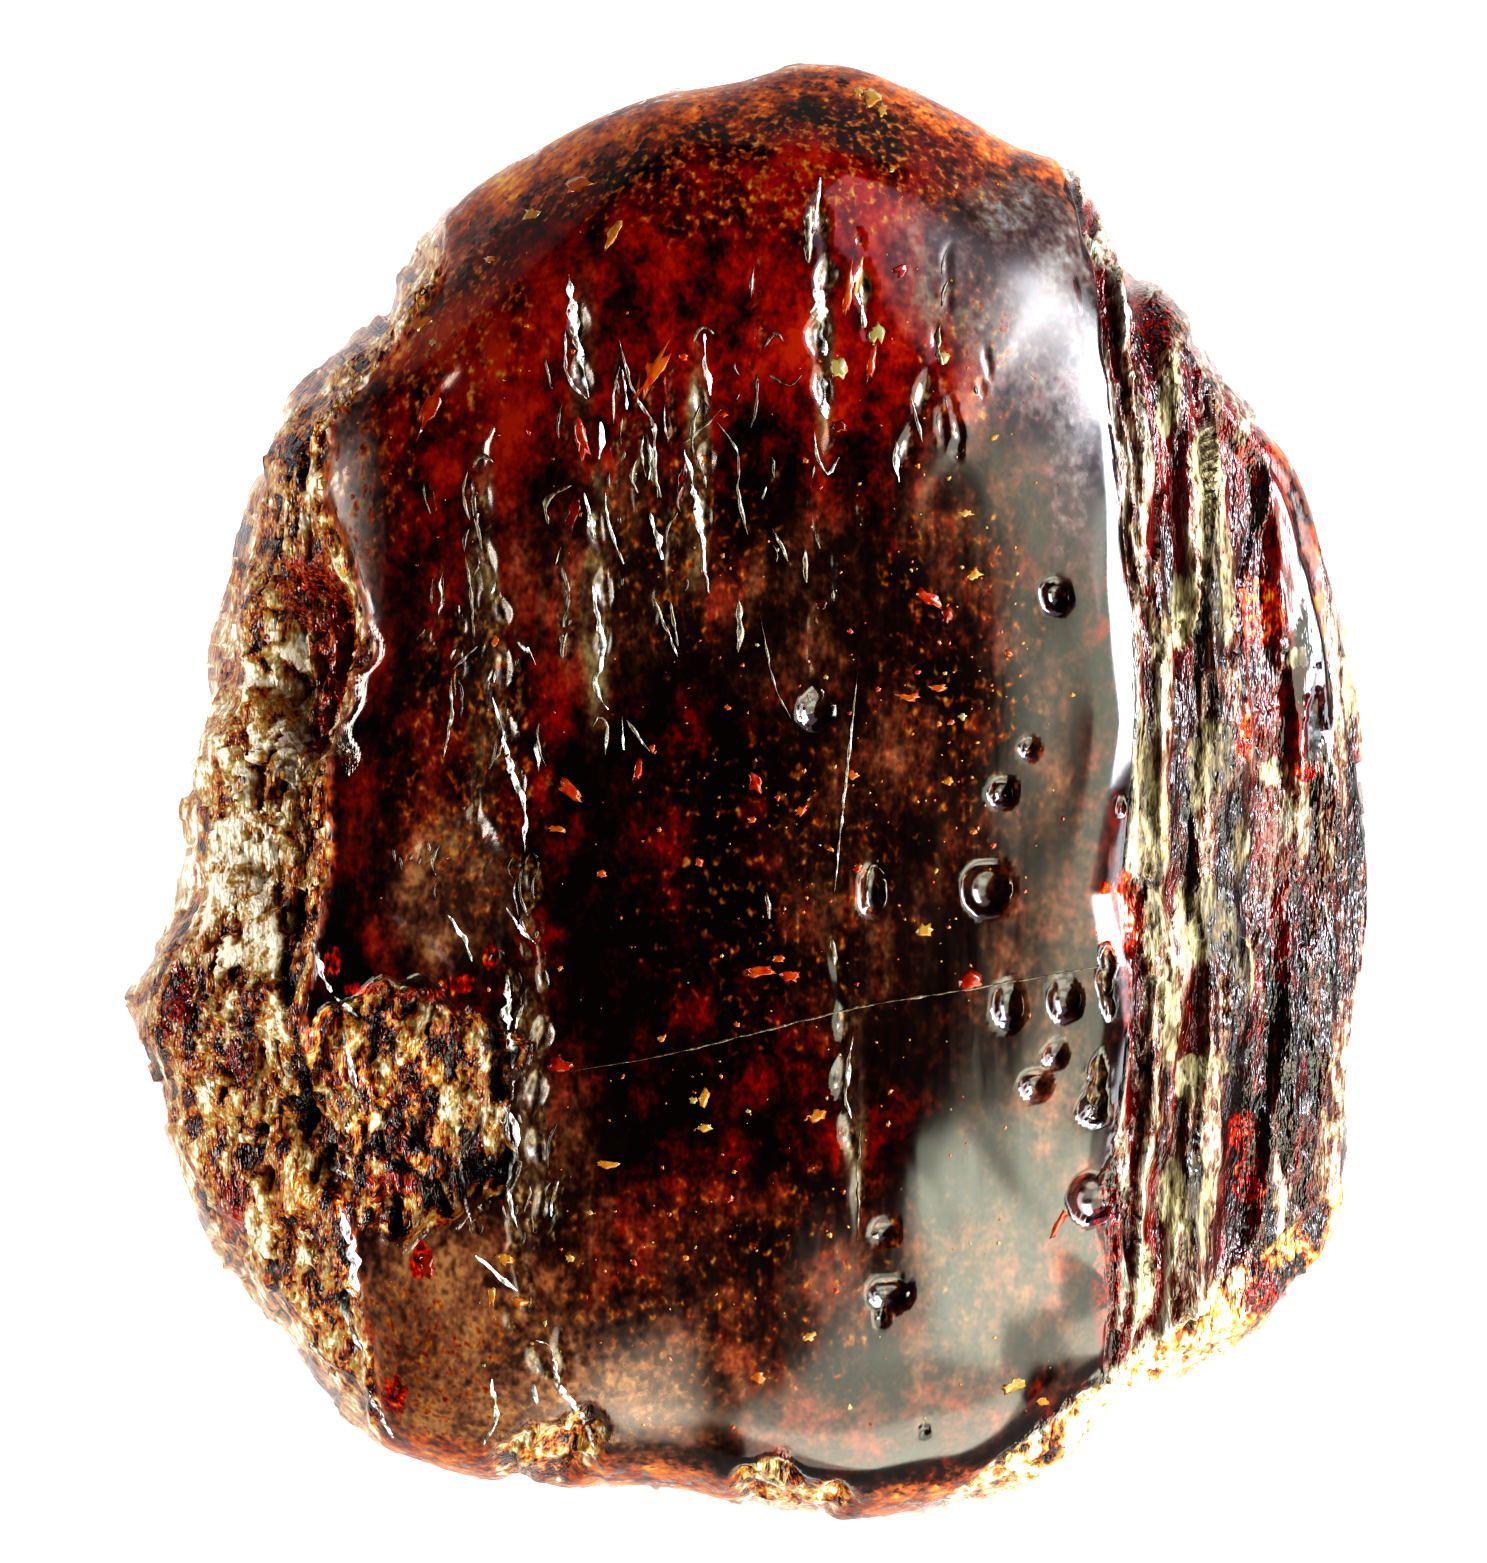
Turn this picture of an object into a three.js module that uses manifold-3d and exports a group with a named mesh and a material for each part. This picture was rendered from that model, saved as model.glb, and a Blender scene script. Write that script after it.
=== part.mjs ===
// A hand-sized nugget of rumanite, the dark red-brown amber of Romania, lying on its back with its polished face up.
// It is one natural piece. Millimetres, +X to the right of the polished face, +Y to its narrow end, +Z out of it.
// The origin is the middle of the nugget's footprint, on the surface that it rests on.
import * as THREE from "three";
import { mergeVertices } from "three/addons/utils/BufferGeometryUtils.js";
import Module from "manifold-3d";

// Driving dimensions: where the widest outline lies, how far the polished face rises over it, and how far the back drops.
const RIM_HEIGHT = 19.5;
const FACE_RISE = 22;
const BACK_DROP = 19.9;
const FACE_CROWN = 0.0045; // how much lower the face lies for each square millimetre of distance from its long axis
const FACE_POWER = 4; // over 2 makes the face flatter and the rim rounder than an ellipse
const BACK_POWER = 2.4;
const RIM_WAVES = [[2, 0.7, 1.5], [3, 2.1, 0.9]]; // the widest outline isn't level: turns, phase, height

// The widest outline, seen from above, clockwise from the narrow end.
const OUTLINE = [
  [6.6, 47.9], [10.5, 46.5], [14.2, 44.7], [17.6, 42.7], [20.8, 41.5], [22.5, 39.7], [23.5, 37.4], [27.2, 33.1],
  [29.4, 30.0], [31.7, 27.0], [33.9, 24.4], [36.2, 21.2], [38.0, 15.9], [39.1, 11.5], [40.1, 5.6], [40.6, -0.5],
  [40.9, -7.6], [40.2, -13.7], [39.6, -19.4], [39.2, -26.3], [38.3, -29.6], [35.4, -32.9], [32.2, -36.5],
  [28.7, -38.9], [25.4, -39.9], [22.6, -42.2], [20.1, -44.9], [17.5, -46.2], [12.2, -47.2], [5.9, -48.0],
  [0.4, -47.2], [-3.8, -46.0], [-7.6, -45.6], [-13.3, -45.6], [-20.3, -44.3], [-23.9, -42.9], [-26.2, -41.3],
  [-28.3, -38.8], [-32.0, -34.2], [-35.2, -29.6], [-37.7, -23.6], [-38.8, -19.8], [-40.5, -16.3], [-40.7, -13.4],
  [-39.4, -10.9], [-37.6, -7.6], [-37.0, -3.1], [-37.2, 0.6], [-36.8, 3.4], [-35.7, 6.4], [-35.2, 10.4],
  [-33.8, 15.8], [-32.4, 20.6], [-31.2, 24.2], [-28.6, 27.7], [-24.6, 30.8], [-22.3, 34.8], [-19.0, 38.8],
  [-15.6, 41.2], [-11.0, 43.9], [-6.3, 45.8], [-0.4, 46.9], [3.2, 47.9],
];

// The crisp ridge at the right of the polished face, and the grained flank that falls away beyond it.
const RIDGE = [
  [21.8, -40.2], [22.4, -33.5], [22.2, -25.6], [23.1, -20.3], [23.8, -15.0], [23.7, -11.2], [23.1, -6.5], [23.8, 0.2],
  [24.1, 4.8], [23.8, 11.5], [23.1, 18.1], [22.4, 24.7], [22.0, 30.7], [20.8, 37.3], [19.1, 41.6],
];
const RIDGE_RISE = 18.8;
const FLANK_SLOPE = 0.88;
const RIDGE_RADIUS = 0.8;

// Ribs and valleys of the wood that the resin set against: share of the flank's width, height.
const FLANK_GRAIN = [
  [0, 0.1], [0.05, -0.5], [0.1, 0.05], [0.15, -0.65], [0.2, 0.05], [0.26, -0.8], [0.31, -0.2], [0.37, -1.4],
  [0.43, -0.2], [0.49, 0.45], [0.54, -0.1], [0.6, 0.3], [0.66, -0.7], [0.73, -1.3], [0.8, -0.8], [0.86, 0.15],
  [0.92, 0.6], [0.97, 0.3], [1, 0],
];

// The edge at the left of the polished face, where the rough skin steps down.
const LEFT_EDGE = [
  [-24.6, -39.5], [-25.4, -34.2], [-26.2, -28.9], [-26.9, -24.3], [-28.3, -19.0], [-29.5, -14.4], [-28.7, -10.4],
  [-27.5, -3.8], [-27.9, 2.2], [-26.5, 6.2], [-25.4, 11.5], [-26.5, 15.4], [-28.2, 19.4], [-27.7, 24.0],
  [-24.5, 28.0], [-20.5, 33.0],
];
const LEFT_EDGE_RISE = 16.9;
const LEFT_SLOPE = 0.78;
const LEFT_RADIUS = 1.2;
const LEFT_LEDGE = 1.1;

// The face's border is broken away along slanting faces: direction across, direction along, reach from the middle,
// height over the rim there, slope. The first is the large break at the lower right corner.
const FACE_BREAKS = [
  [0.62, -0.78, 44.5, 11, 1.3],
  [-0.66, 0.75, 37.2, 14.5, 1.5],
  [0.06, 1, 44.5, 14.5, 1.5],
  [0.52, 0.85, 43, 13.5, 1.3],
  [-0.1, -1, 45.2, 15, 2.4],
];
const BREAK_RADIUS = 1.5;

// Broad breaks on the back: direction across, direction along, reach from the middle, slope.
const BACK_BREAKS = [
  [0.88, 0.47, 52, 0.5],
  [-0.78, -0.63, 56, 0.5],
  [-0.66, 0.75, 50, 0.62],
  [0.28, -0.96, 59, 0.6],
  [0.95, -0.3, 52, 0.95],
];

// Sunken fracture patches on the face: centre x, centre y, half width, half height, depth, softness of the edge.
const HOLLOWS = [
  [-22.2, -20.6, 7.2, 7.4, 1.8, 0.8],
  [-18.6, -6.6, 3.4, 4.2, 0.8, 1.0],
  [-28.9, 8.4, 2.9, 6.2, 2.4, 1.5],
  [-32.6, -1.5, 3.0, 5.4, 1.0, 1.5],
  [-12.9, -43.4, 4.0, 2.3, 1.2, 0.8],
  [2.6, -46.2, 3.2, 1.9, 1.3, 0.7],
];

// Open slits in the polished face, where the resin flowed down the bark: top x, y, bottom x, y, width, depth.
const SLITS = [
  [-11.4, 33.8, -9.8, 24.4, 1.5, 1.1],
  [-9.6, 21.8, -9.0, 5.6, 1.4, 1.0],
  [-3.0, 29.8, -2.3, 13.4, 1.3, 1.0],
  [4.8, 39.8, 5.2, 21.6, 1.6, 1.3],
  [6.9, 36.6, 8.2, 29.2, 1.2, 0.9],
  [12.4, 30.6, 10.0, 19.4, 1.0, 0.8],
  [-17.2, 21.8, -14.4, -3.2, 1.4, 0.9],
  [-13.2, -10.2, -13.6, -30.4, 1.6, 1.0],
  [-15.6, -33.4, -9.4, -42.6, 1.3, 1.0],
  [5.6, -9.4, 7.4, -29.0, 1.3, 0.8],
];
const SLIT_STEP = 2.4;
const SLIT_SWAY = 0.4;
const SLIT_TOP = 0.8; // how far a slit's blank stands out of the face

// Bubbles that polishing opened: x, y, radius along x, radius along y, depth.
const PITS = [
  [15.6, -6.2, 1.6, 1.7, 1.3],
  [8.2, -6.4, 0.9, 1.6, 0.9],
  [17.0, -13.7, 1.0, 1.5, 0.8],
  [20.6, -13.4, 1.1, 1.3, 0.8],
  [20.0, 12.8, 0.9, 1.0, 0.8],
  [16.5, 0.0, 0.8, 0.8, 0.7],
  [18.7, -18.9, 0.9, 0.9, 0.7],
  [22.4, -26.3, 1.5, 1.6, 1.1],
  [4.6, 5.3, 1.3, 1.2, 0.7],
  [9.3, -32.4, 1.4, 0.9, 0.8],
];
const PIT_TOP = 0.6;

// Segments across the face (the rough skin, the polished face, and one for each step of the grain), along it and round the rim.
const LEFT_COLUMNS = 5;
const FACE_COLUMNS = 21;
const ALONG = 32;
const AROUND_RIM = 7;
const LEFT_STATION = -0.74;
const RIDGE_STATION = 0.61;
const ROW_SPREAD = 0.7; // how much of the grid's bend the rows take in the lower half, so that the columns stay straight

const { lerp, mapLinear, smoothstep } = THREE.MathUtils;

// Where the columns lie across the face, from -1 at the left rim to 1 at the right rim.
const stations = [
  ...Array.from({ length: LEFT_COLUMNS }, (_, i) => lerp(-1, LEFT_STATION, i / LEFT_COLUMNS)),
  ...Array.from({ length: FACE_COLUMNS }, (_, i) => lerp(LEFT_STATION, RIDGE_STATION, i / FACE_COLUMNS)),
  ...FLANK_GRAIN.map(([share]) => lerp(RIDGE_STATION, 1, share)),
];
const ACROSS = stations.length - 1;

// The value of a table at a place, on straight lines between its entries.
function lookUp(table, at, from = 0, to = 1) {
  const next = table.findIndex((entry) => entry[from] > at);
  if (next === 0) return table[0][to];
  if (next < 0) return table[table.length - 1][to];
  return mapLinear(at, table[next - 1][from], table[next][from], table[next - 1][to], table[next][to]);
}

const ridgeX = (y) => lookUp(RIDGE, y, 1, 0);
const leftEdgeX = (y) => lookUp(LEFT_EDGE, y, 1, 0);

// The outline's distance from the middle in any direction.
const OUTLINE_STEPS = 720;
const outlineTable = (() => {
  const corners = OUTLINE.map(([x, y]) => new THREE.Vector3(x, y, 0));
  const points = new THREE.CatmullRomCurve3(corners, true, "centripetal").getPoints(OUTLINE_STEPS);
  return points.map((p) => [Math.atan2(p.y, p.x), Math.hypot(p.x, p.y)]).sort((a, b) => a[0] - b[0]);
})();
const outlineRadius = (angle) => lookUp(outlineTable, angle);

function rimWave(angle) {
  return RIM_WAVES.reduce((sum, [turns, phase, height]) => sum + height * Math.sin(turns * angle + phase), 0);
}

// The lower of two heights, rounded over a small radius where they cross.
function softMin(a, b, radius) {
  const overlap = Math.max(radius - Math.abs(a - b), 0) / radius;
  return Math.min(a, b) - (overlap * overlap * radius) / 4;
}

// Lumps and ledges that any rough part of the skin has, from about -1 to 1.
function lumps(x, y, z) {
  const broad = Math.sin(0.31 * x + 0.9 * Math.sin(0.21 * y) + 0.4) * Math.sin(0.27 * y - 0.23 * z + 1.3);
  const small = Math.sin(0.74 * x - 0.41 * z) * Math.sin(0.58 * y + 0.66 * z + 0.8 * Math.sin(0.5 * x));
  const mixed = 0.6 * broad + 0.4 * small;
  return mixed + 0.11 * Math.sin(9 * mixed);
}

function cornerReach(x, y) {
  const [across, along, reach] = FACE_BREAKS[0];
  return x * across + y * along - reach;
}

// Height of the front over the rim, before any relief: a low dome cut by the two flanks and the breaks. The level is 1
// in the middle of the face and 0 at the rim.
function frontRise(x, y, level) {
  const dome = (FACE_RISE - FACE_CROWN * x * x) * level;
  const flank = RIDGE_RISE - FLANK_SLOPE * (x - ridgeX(y));
  const left = LEFT_EDGE_RISE - LEFT_SLOPE * (leftEdgeX(y) - x);
  const flanked = softMin(softMin(dome, flank, RIDGE_RADIUS), left, LEFT_RADIUS);
  return FACE_BREAKS.reduce((rise, [across, along, reach, height, slope]) => {
    return softMin(rise, height - slope * (x * across + y * along - reach), BREAK_RADIUS);
  }, flanked);
}

// Depth of the back under the rim: a bowl cut by its broad breaks.
function backDrop(x, y, bowl) {
  return BACK_BREAKS.reduce((depth, [dx, dy, reach, slope]) => {
    return softMin(depth, slope * (reach - x * dx - y * dy), BREAK_RADIUS);
  }, bowl);
}

// The fracture patches have wandering edges and rounded corners.
function sunkDepth(x, y) {
  const wanderX = x + 0.9 * Math.sin(0.62 * y + 0.3 * x) + 0.35 * Math.sin(1.7 * y + 1.3);
  const wanderY = y + 0.9 * Math.sin(0.55 * x - 0.2 * y + 2) + 0.35 * Math.sin(1.9 * x);
  return HOLLOWS.reduce((sum, [cx, cy, halfWide, halfHigh, depth, soft]) => {
    const round = 0.8 * Math.min(halfWide, halfHigh);
    const outX = Math.max(Math.abs(wanderX - cx) - halfWide + round, 0);
    const outY = Math.max(Math.abs(wanderY - cy) - halfHigh + round, 0);
    return sum + depth * (1 - smoothstep(Math.hypot(outX, outY) - round, -soft, soft));
  }, 0);
}

// How far the front stands out from, or is sunk into, its smooth shape.
function frontRelief(across, x, y, z) {
  const flank = (across - RIDGE_STATION) / (1 - RIDGE_STATION);
  const corner = smoothstep(cornerReach(x, y), -6, -3);
  const width = outlineRadius(Math.atan2(y, x)) * Math.cos(Math.atan2(y, x)) - ridgeX(y);
  const strength = (0.8 + 0.2 * Math.sin(0.19 * y + 5 * flank)) * (1 - corner) * THREE.MathUtils.clamp(width / 13, 0, 1);
  const grain = lookUp(FLANK_GRAIN, flank) * (flank > 0 ? strength : 0);
  const beyond = leftEdgeX(y) - x;
  const sunk = sunkDepth(x, y);
  const rough = Math.max(smoothstep(beyond, 0, 1.5), Math.min(sunk, 1), corner);
  return grain + rough * lumps(x, y, z) - sunk - LEFT_LEDGE * smoothstep(beyond, 0, 1.2);
}

const backRelief = (x, y, z) => 1.1 * lumps(x, y, z);

// Direction and share of the outline's distance for a place on the box's square front.
function onDisc(across, b) {
  const rows = b < 0 ? ROW_SPREAD : 0.5;
  const u = across * Math.sqrt(1 - (1 - rows) * b * b);
  const v = b * Math.sqrt(1 - rows * across * across);
  return { angle: Math.atan2(v, u), reach: Math.min(Math.hypot(u, v), 1) };
}

// Moves the face's columns sideways, so that one runs along each of the two edges.
function alignToEdges(across, b, x) {
  const shift = (station, edge) => {
    const { angle, reach } = onDisc(station, b);
    const radius = outlineRadius(angle) * FACE_SHARE * reach;
    return (edge(radius * Math.sin(angle)) - radius * Math.cos(angle)) * (1 - b ** 6);
  };
  const left = shift(LEFT_STATION, leftEdgeX);
  const right = shift(RIDGE_STATION, ridgeX);
  return x + lookUp([[-1, 0], [LEFT_STATION, left], [RIDGE_STATION, right], [1, 0]], across);
}

// Wraps a box's grid round the nugget: its front and back become the face and the back, and its sides the rim.
const FACE_SHARE = 0.965; // of the outline, where the face's grid ends and the rim's begins
const BACK_SHARE = 0.92;
function place(a, b, c) {
  const across = stations[Math.round(((a + 1) / 2) * ACROSS)];
  let { angle, reach } = onDisc(across, b);
  let radius = outlineRadius(angle);
  const onFront = c >= 0;
  const power = onFront ? FACE_POWER : BACK_POWER;
  const border = onFront ? FACE_SHARE : BACK_SHARE;
  let share = Math.abs(c) === 1 ? reach * border : Math.cos(c * Math.acos(border ** (power / 2))) ** (2 / power);
  let x = radius * share * Math.cos(angle);
  const y = radius * share * Math.sin(angle);
  if (c === 1) {
    x = alignToEdges(across, b, x);
    angle = Math.atan2(y, x);
    radius = outlineRadius(angle);
    share = Math.min(Math.hypot(x, y) / radius, share > border - 1e-6 ? border : 1);
  }
  const level = Math.sign(c) * Math.max(1 - share ** power, 0) ** (1 / power);
  const rise = level > 0 ? frontRise(x, y, level) : -backDrop(x, y, -BACK_DROP * level);
  const z = RIM_HEIGHT + rimWave(angle) * share ** 2 + rise;
  const outward = new THREE.Vector3(
    (Math.cos(angle) * share ** (power - 1)) / radius,
    (Math.sin(angle) * share ** (power - 1)) / radius,
    (Math.sign(level) * Math.abs(level) ** (power - 1)) / (level > 0 ? FACE_RISE : BACK_DROP),
  ).normalize();
  const fade = smoothstep(level, 0, 0.3); // the front's relief fades into the back's at the rim
  const relief = fade * frontRelief(across, x, y, z) + (1 - fade) * backRelief(x, y, z);
  return new THREE.Vector3(x, y, z).addScaledVector(outward, relief);
}

function bare(geometry) {
  geometry.deleteAttribute("normal");
  geometry.deleteAttribute("uv");
  return mergeVertices(geometry, 1e-4);
}

function moveCorners(geometry, move) {
  const position = geometry.getAttribute("position");
  for (let i = 0; i < position.count; i++) {
    const p = move(position.getX(i), position.getY(i), position.getZ(i));
    position.setXYZ(i, p.x, p.y, p.z);
  }
  return geometry;
}

// Height of the front over the resting surface, for setting slits and pits into it.
function frontHeight(x, y) {
  const angle = Math.atan2(y, x);
  const share = Math.hypot(x, y) / outlineRadius(angle);
  const level = Math.max(1 - share ** FACE_POWER, 0) ** (1 / FACE_POWER);
  return RIM_HEIGHT + rimWave(angle) * share ** 2 + frontRise(x, y, level) - sunkDepth(x, y);
}

// One long wavy blank that tapers to both its ends, and leaves a slit when it is cut away.
function slitBlank([topX, topY, bottomX, bottomY, width, depth]) {
  const length = Math.hypot(topX - bottomX, topY - bottomY);
  const ball = bare(new THREE.SphereGeometry(1, 4, Math.round(length / SLIT_STEP) + 2));
  return moveCorners(ball, (px, py, pz) => {
    const along = Math.acos(THREE.MathUtils.clamp(py, -1, 1)) / Math.PI;
    const fuller = Math.max(Math.hypot(px, pz), 1e-6) ** -0.5;
    const wave = SLIT_SWAY * Math.sin(along * length * 0.55 + topX) * (0.7 + 0.3 * Math.sin(along * length * 1.3));
    const x = lerp(topX, bottomX, along) + wave + (px * fuller * width) / 2;
    const y = lerp(topY, bottomY, along);
    const z = frontHeight(x, y) + 0.12 + pz * fuller * (pz > 0 ? SLIT_TOP : depth);
    return new THREE.Vector3(x, y, z);
  });
}

function pitBlank([atX, atY, wide, high, depth]) {
  const surface = frontHeight(atX, atY);
  return moveCorners(bare(new THREE.OctahedronGeometry(1, 1)), (px, py, pz) => {
    return new THREE.Vector3(atX + px * wide, atY + py * high, surface + 0.1 + pz * (pz > 0 ? PIT_TOP : depth));
  });
}

// What lies under the resting surface is taken off, which leaves the flat spot that the nugget stands on.
function underground() {
  const size = 120;
  return bare(new THREE.BoxGeometry(size, size, size)).translate(0, 0, -size / 2);
}

const wasm = await Module();
wasm.setup();

function solid(geometry) {
  const vertProperties = new Float32Array(geometry.getAttribute("position").array);
  return new wasm.Manifold(new wasm.Mesh({ numProp: 3, vertProperties, triVerts: new Uint32Array(geometry.index.array) }));
}

function geometryOf(manifold) {
  const { numProp, vertProperties, triVerts } = manifold.getMesh();
  const corners = new Float32Array((vertProperties.length / numProp) * 3);
  for (let i = 0; i < corners.length / 3; i++) {
    corners.set(vertProperties.subarray(i * numProp, i * numProp + 3), i * 3);
  }
  const geometry = new THREE.BufferGeometry();
  geometry.setAttribute("position", new THREE.BufferAttribute(corners, 3));
  geometry.setIndex(new THREE.BufferAttribute(triVerts, 1));
  return geometry;
}

const roughNugget = moveCorners(bare(new THREE.BoxGeometry(2, 2, 2, ACROSS, ALONG, AROUND_RIM)), place);
const cuts = [...SLITS.map(slitBlank), ...PITS.map(pitBlank), underground()];
const nugget = cuts.reduce((body, cut) => body.subtract(solid(cut)), solid(roughNugget));

const amber = new THREE.MeshStandardMaterial({ color: 0x4a120a, roughness: 0.22, metalness: 0 });
const geometry = geometryOf(nugget);
geometry.computeVertexNormals();
const mesh = new THREE.Mesh(geometry, amber);
mesh.name = "amber_nugget";

const part = new THREE.Group();
part.name = "rumanite_amber_nugget";
part.add(mesh);

export default part;
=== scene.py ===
# %% [markdown]
# A rumanite amber nugget
#
# Rumanite is the dark red-brown amber of Romania. This nugget lies on its back with its polished face up. Its right
# side keeps the ribs of the bark that the resin set against, and its left side is a rough, crusted skin. The packed
# model gives its form at its real size. This lesson gives it the skin, the resin and the light of the photograph.

import math

import bmesh
import bpy
import numpy as np
from mathutils import Matrix, Vector, noise
from mathutils.bvhtree import BVHTree


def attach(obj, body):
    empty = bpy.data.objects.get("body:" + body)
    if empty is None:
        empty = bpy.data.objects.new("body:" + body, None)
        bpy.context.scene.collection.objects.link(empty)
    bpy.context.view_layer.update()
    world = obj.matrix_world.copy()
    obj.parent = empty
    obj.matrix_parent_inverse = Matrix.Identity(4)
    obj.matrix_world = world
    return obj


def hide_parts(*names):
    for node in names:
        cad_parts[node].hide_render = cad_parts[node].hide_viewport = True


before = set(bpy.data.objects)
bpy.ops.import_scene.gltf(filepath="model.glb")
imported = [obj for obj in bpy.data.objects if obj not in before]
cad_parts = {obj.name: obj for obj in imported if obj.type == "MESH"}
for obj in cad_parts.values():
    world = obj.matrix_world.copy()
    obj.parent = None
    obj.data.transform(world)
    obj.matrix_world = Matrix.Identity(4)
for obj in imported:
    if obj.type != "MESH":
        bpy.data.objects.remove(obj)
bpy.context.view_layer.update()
MM = 0.001

# %% [markdown]
# The photograph is taken from straight above, at some distance, so that the outline and the face keep their places. A
# long lens on a camera high over the nugget gives the same view.

# %%
# Camera
RIM_HEIGHT = 19.5
LENS, SENSOR = 300, 36
FRAME_LENGTH = 103.5  # what the picture's long side covers at the height of the rim
camera = bpy.data.objects.new("camera", bpy.data.cameras.new("camera"))
bpy.context.collection.objects.link(camera)
camera.data.lens = LENS
camera.data.sensor_width = SENSOR
camera.data.clip_end = 10
camera.location = Vector((-0.17, 0.76, RIM_HEIGHT + LENS * FRAME_LENGTH / SENSOR)) * MM
bpy.context.scene.camera = camera
print("camera height", round(camera.location.z, 3))

# %% [markdown]
# The form follows a few listed lines: the widest outline, the crisp ridge at the right of the polished face, and the
# edge at its left where the rough skin steps down. They are the same lines that the imported model was made from.

# %%
# Lines of the nugget, in millimetres
OUTLINE = np.array([
    (6.6, 47.9), (10.5, 46.5), (14.2, 44.7), (17.6, 42.7), (20.8, 41.5), (22.5, 39.7), (23.5, 37.4), (27.2, 33.1),
    (29.4, 30.0), (31.7, 27.0), (33.9, 24.4), (36.2, 21.2), (38.0, 15.9), (39.1, 11.5), (40.1, 5.6), (40.6, -0.5),
    (40.9, -7.6), (40.2, -13.7), (39.6, -19.4), (39.2, -26.3), (38.3, -29.6), (35.4, -32.9), (32.2, -36.5),
    (28.7, -38.9), (25.4, -39.9), (22.6, -42.2), (20.1, -44.9), (17.5, -46.2), (12.2, -47.2), (5.9, -48.0),
    (0.4, -47.2), (-3.8, -46.0), (-7.6, -45.6), (-13.3, -45.6), (-20.3, -44.3), (-23.9, -42.9), (-26.2, -41.3),
    (-28.3, -38.8), (-32.0, -34.2), (-35.2, -29.6), (-37.7, -23.6), (-38.8, -19.8), (-40.5, -16.3), (-40.7, -13.4),
    (-39.4, -10.9), (-37.6, -7.6), (-37.0, -3.1), (-37.2, 0.6), (-36.8, 3.4), (-35.7, 6.4), (-35.2, 10.4),
    (-33.8, 15.8), (-32.4, 20.6), (-31.2, 24.2), (-28.6, 27.7), (-24.6, 30.8), (-22.3, 34.8), (-19.0, 38.8),
    (-15.6, 41.2), (-11.0, 43.9), (-6.3, 45.8), (-0.4, 46.9), (3.2, 47.9),
])
RIDGE = np.array([
    (21.8, -40.2), (22.4, -33.5), (22.2, -25.6), (23.1, -20.3), (23.8, -15.0), (23.7, -11.2), (23.1, -6.5), (23.8, 0.2),
    (24.1, 4.8), (23.8, 11.5), (23.1, 18.1), (22.4, 24.7), (22.0, 30.7), (20.8, 37.3), (19.1, 41.6),
])
LEFT_EDGE = np.array([
    (-24.6, -39.5), (-25.4, -34.2), (-26.2, -28.9), (-26.9, -24.3), (-28.3, -19.0), (-29.5, -14.4), (-28.7, -10.4),
    (-27.5, -3.8), (-27.9, 2.2), (-26.5, 6.2), (-25.4, 11.5), (-26.5, 15.4), (-28.2, 19.4), (-27.7, 24.0),
    (-24.5, 28.0), (-20.5, 33.0),
])


def smooth_closed(points, steps):
    """A smooth closed curve through the points: a centripetal Catmull-Rom spline."""
    before, here, after, next_one = (np.roll(points, shift, 0) for shift in (1, 0, -1, -2))
    gap = [np.linalg.norm(b - a, axis=1)[:, None] ** 0.5 for a, b in ((before, here), (here, after), (after, next_one))]
    leave = gap[1] * ((here - before) / gap[0] - (after - before) / (gap[0] + gap[1]) + (after - here) / gap[1])
    arrive = gap[1] * ((after - here) / gap[1] - (next_one - here) / (gap[1] + gap[2]) + (next_one - after) / gap[2])
    t = np.linspace(0, 1, steps, endpoint=False)[:, None, None]
    curve = here + leave * t + (3 * (after - here) - 2 * leave - arrive) * t**2
    return (curve + (2 * (here - after) + leave + arrive) * t**3).reshape(-1, 2)


rim_line = smooth_closed(OUTLINE, 12)
rim_angle = np.arctan2(rim_line[:, 1], rim_line[:, 0])
order = np.argsort(rim_angle)


def outline_radius(angle):
    return np.interp(angle, rim_angle[order], np.hypot(*rim_line[order].T), period=2 * math.pi)


def ridge_x(y):
    return np.interp(y, RIDGE[:, 1], RIDGE[:, 0])


def left_edge_x(y):
    return np.interp(y, LEFT_EDGE[:, 1], LEFT_EDGE[:, 0])


print("outline", rim_line.min(0).round(1), rim_line.max(0).round(1))

# %% [markdown]
# Over the outline stands a low polished dome, cut by a flank at each side and by breaks along its border, and under it
# hangs a bowl cut by broad breaks. Where two of these surfaces meet, the lower one wins, with a small radius.

# %%
# Smooth form
FACE_RISE, BACK_DROP, FACE_CROWN = 22, 19.9, 0.0045
FACE_POWER, BACK_POWER = 4, 2.4
FACE_SHARE, BACK_SHARE = 0.965, 0.92
RIM_WAVES = ((2, 0.7, 1.5), (3, 2.1, 0.9))
FACE_BREAKS = (  # direction across, direction along, reach, height over the rim there, slope
    (0.62, -0.78, 44.5, 15, 1.6), (-0.66, 0.75, 37.2, 14.5, 1.5), (0.06, 1, 44.5, 14.5, 1.5),
    (0.52, 0.85, 43, 13.5, 1.3), (-0.1, -1, 45.2, 15, 2.4),
)
BACK_BREAKS = (  # direction across, direction along, reach, slope
    (0.88, 0.47, 52, 0.5), (-0.78, -0.63, 56, 0.5), (-0.66, 0.75, 50, 0.62), (0.28, -0.96, 59, 0.6),
    (0.95, -0.3, 52, 0.95),
)


def smoothstep(value, low, high):
    t = np.clip((value - low) / (high - low), 0, 1)
    return t * t * (3 - 2 * t)


def soft_min(a, b, radius):
    overlap = np.maximum(radius - np.abs(a - b), 0) / radius
    return np.minimum(a, b) - overlap**2 * radius / 4


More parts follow.
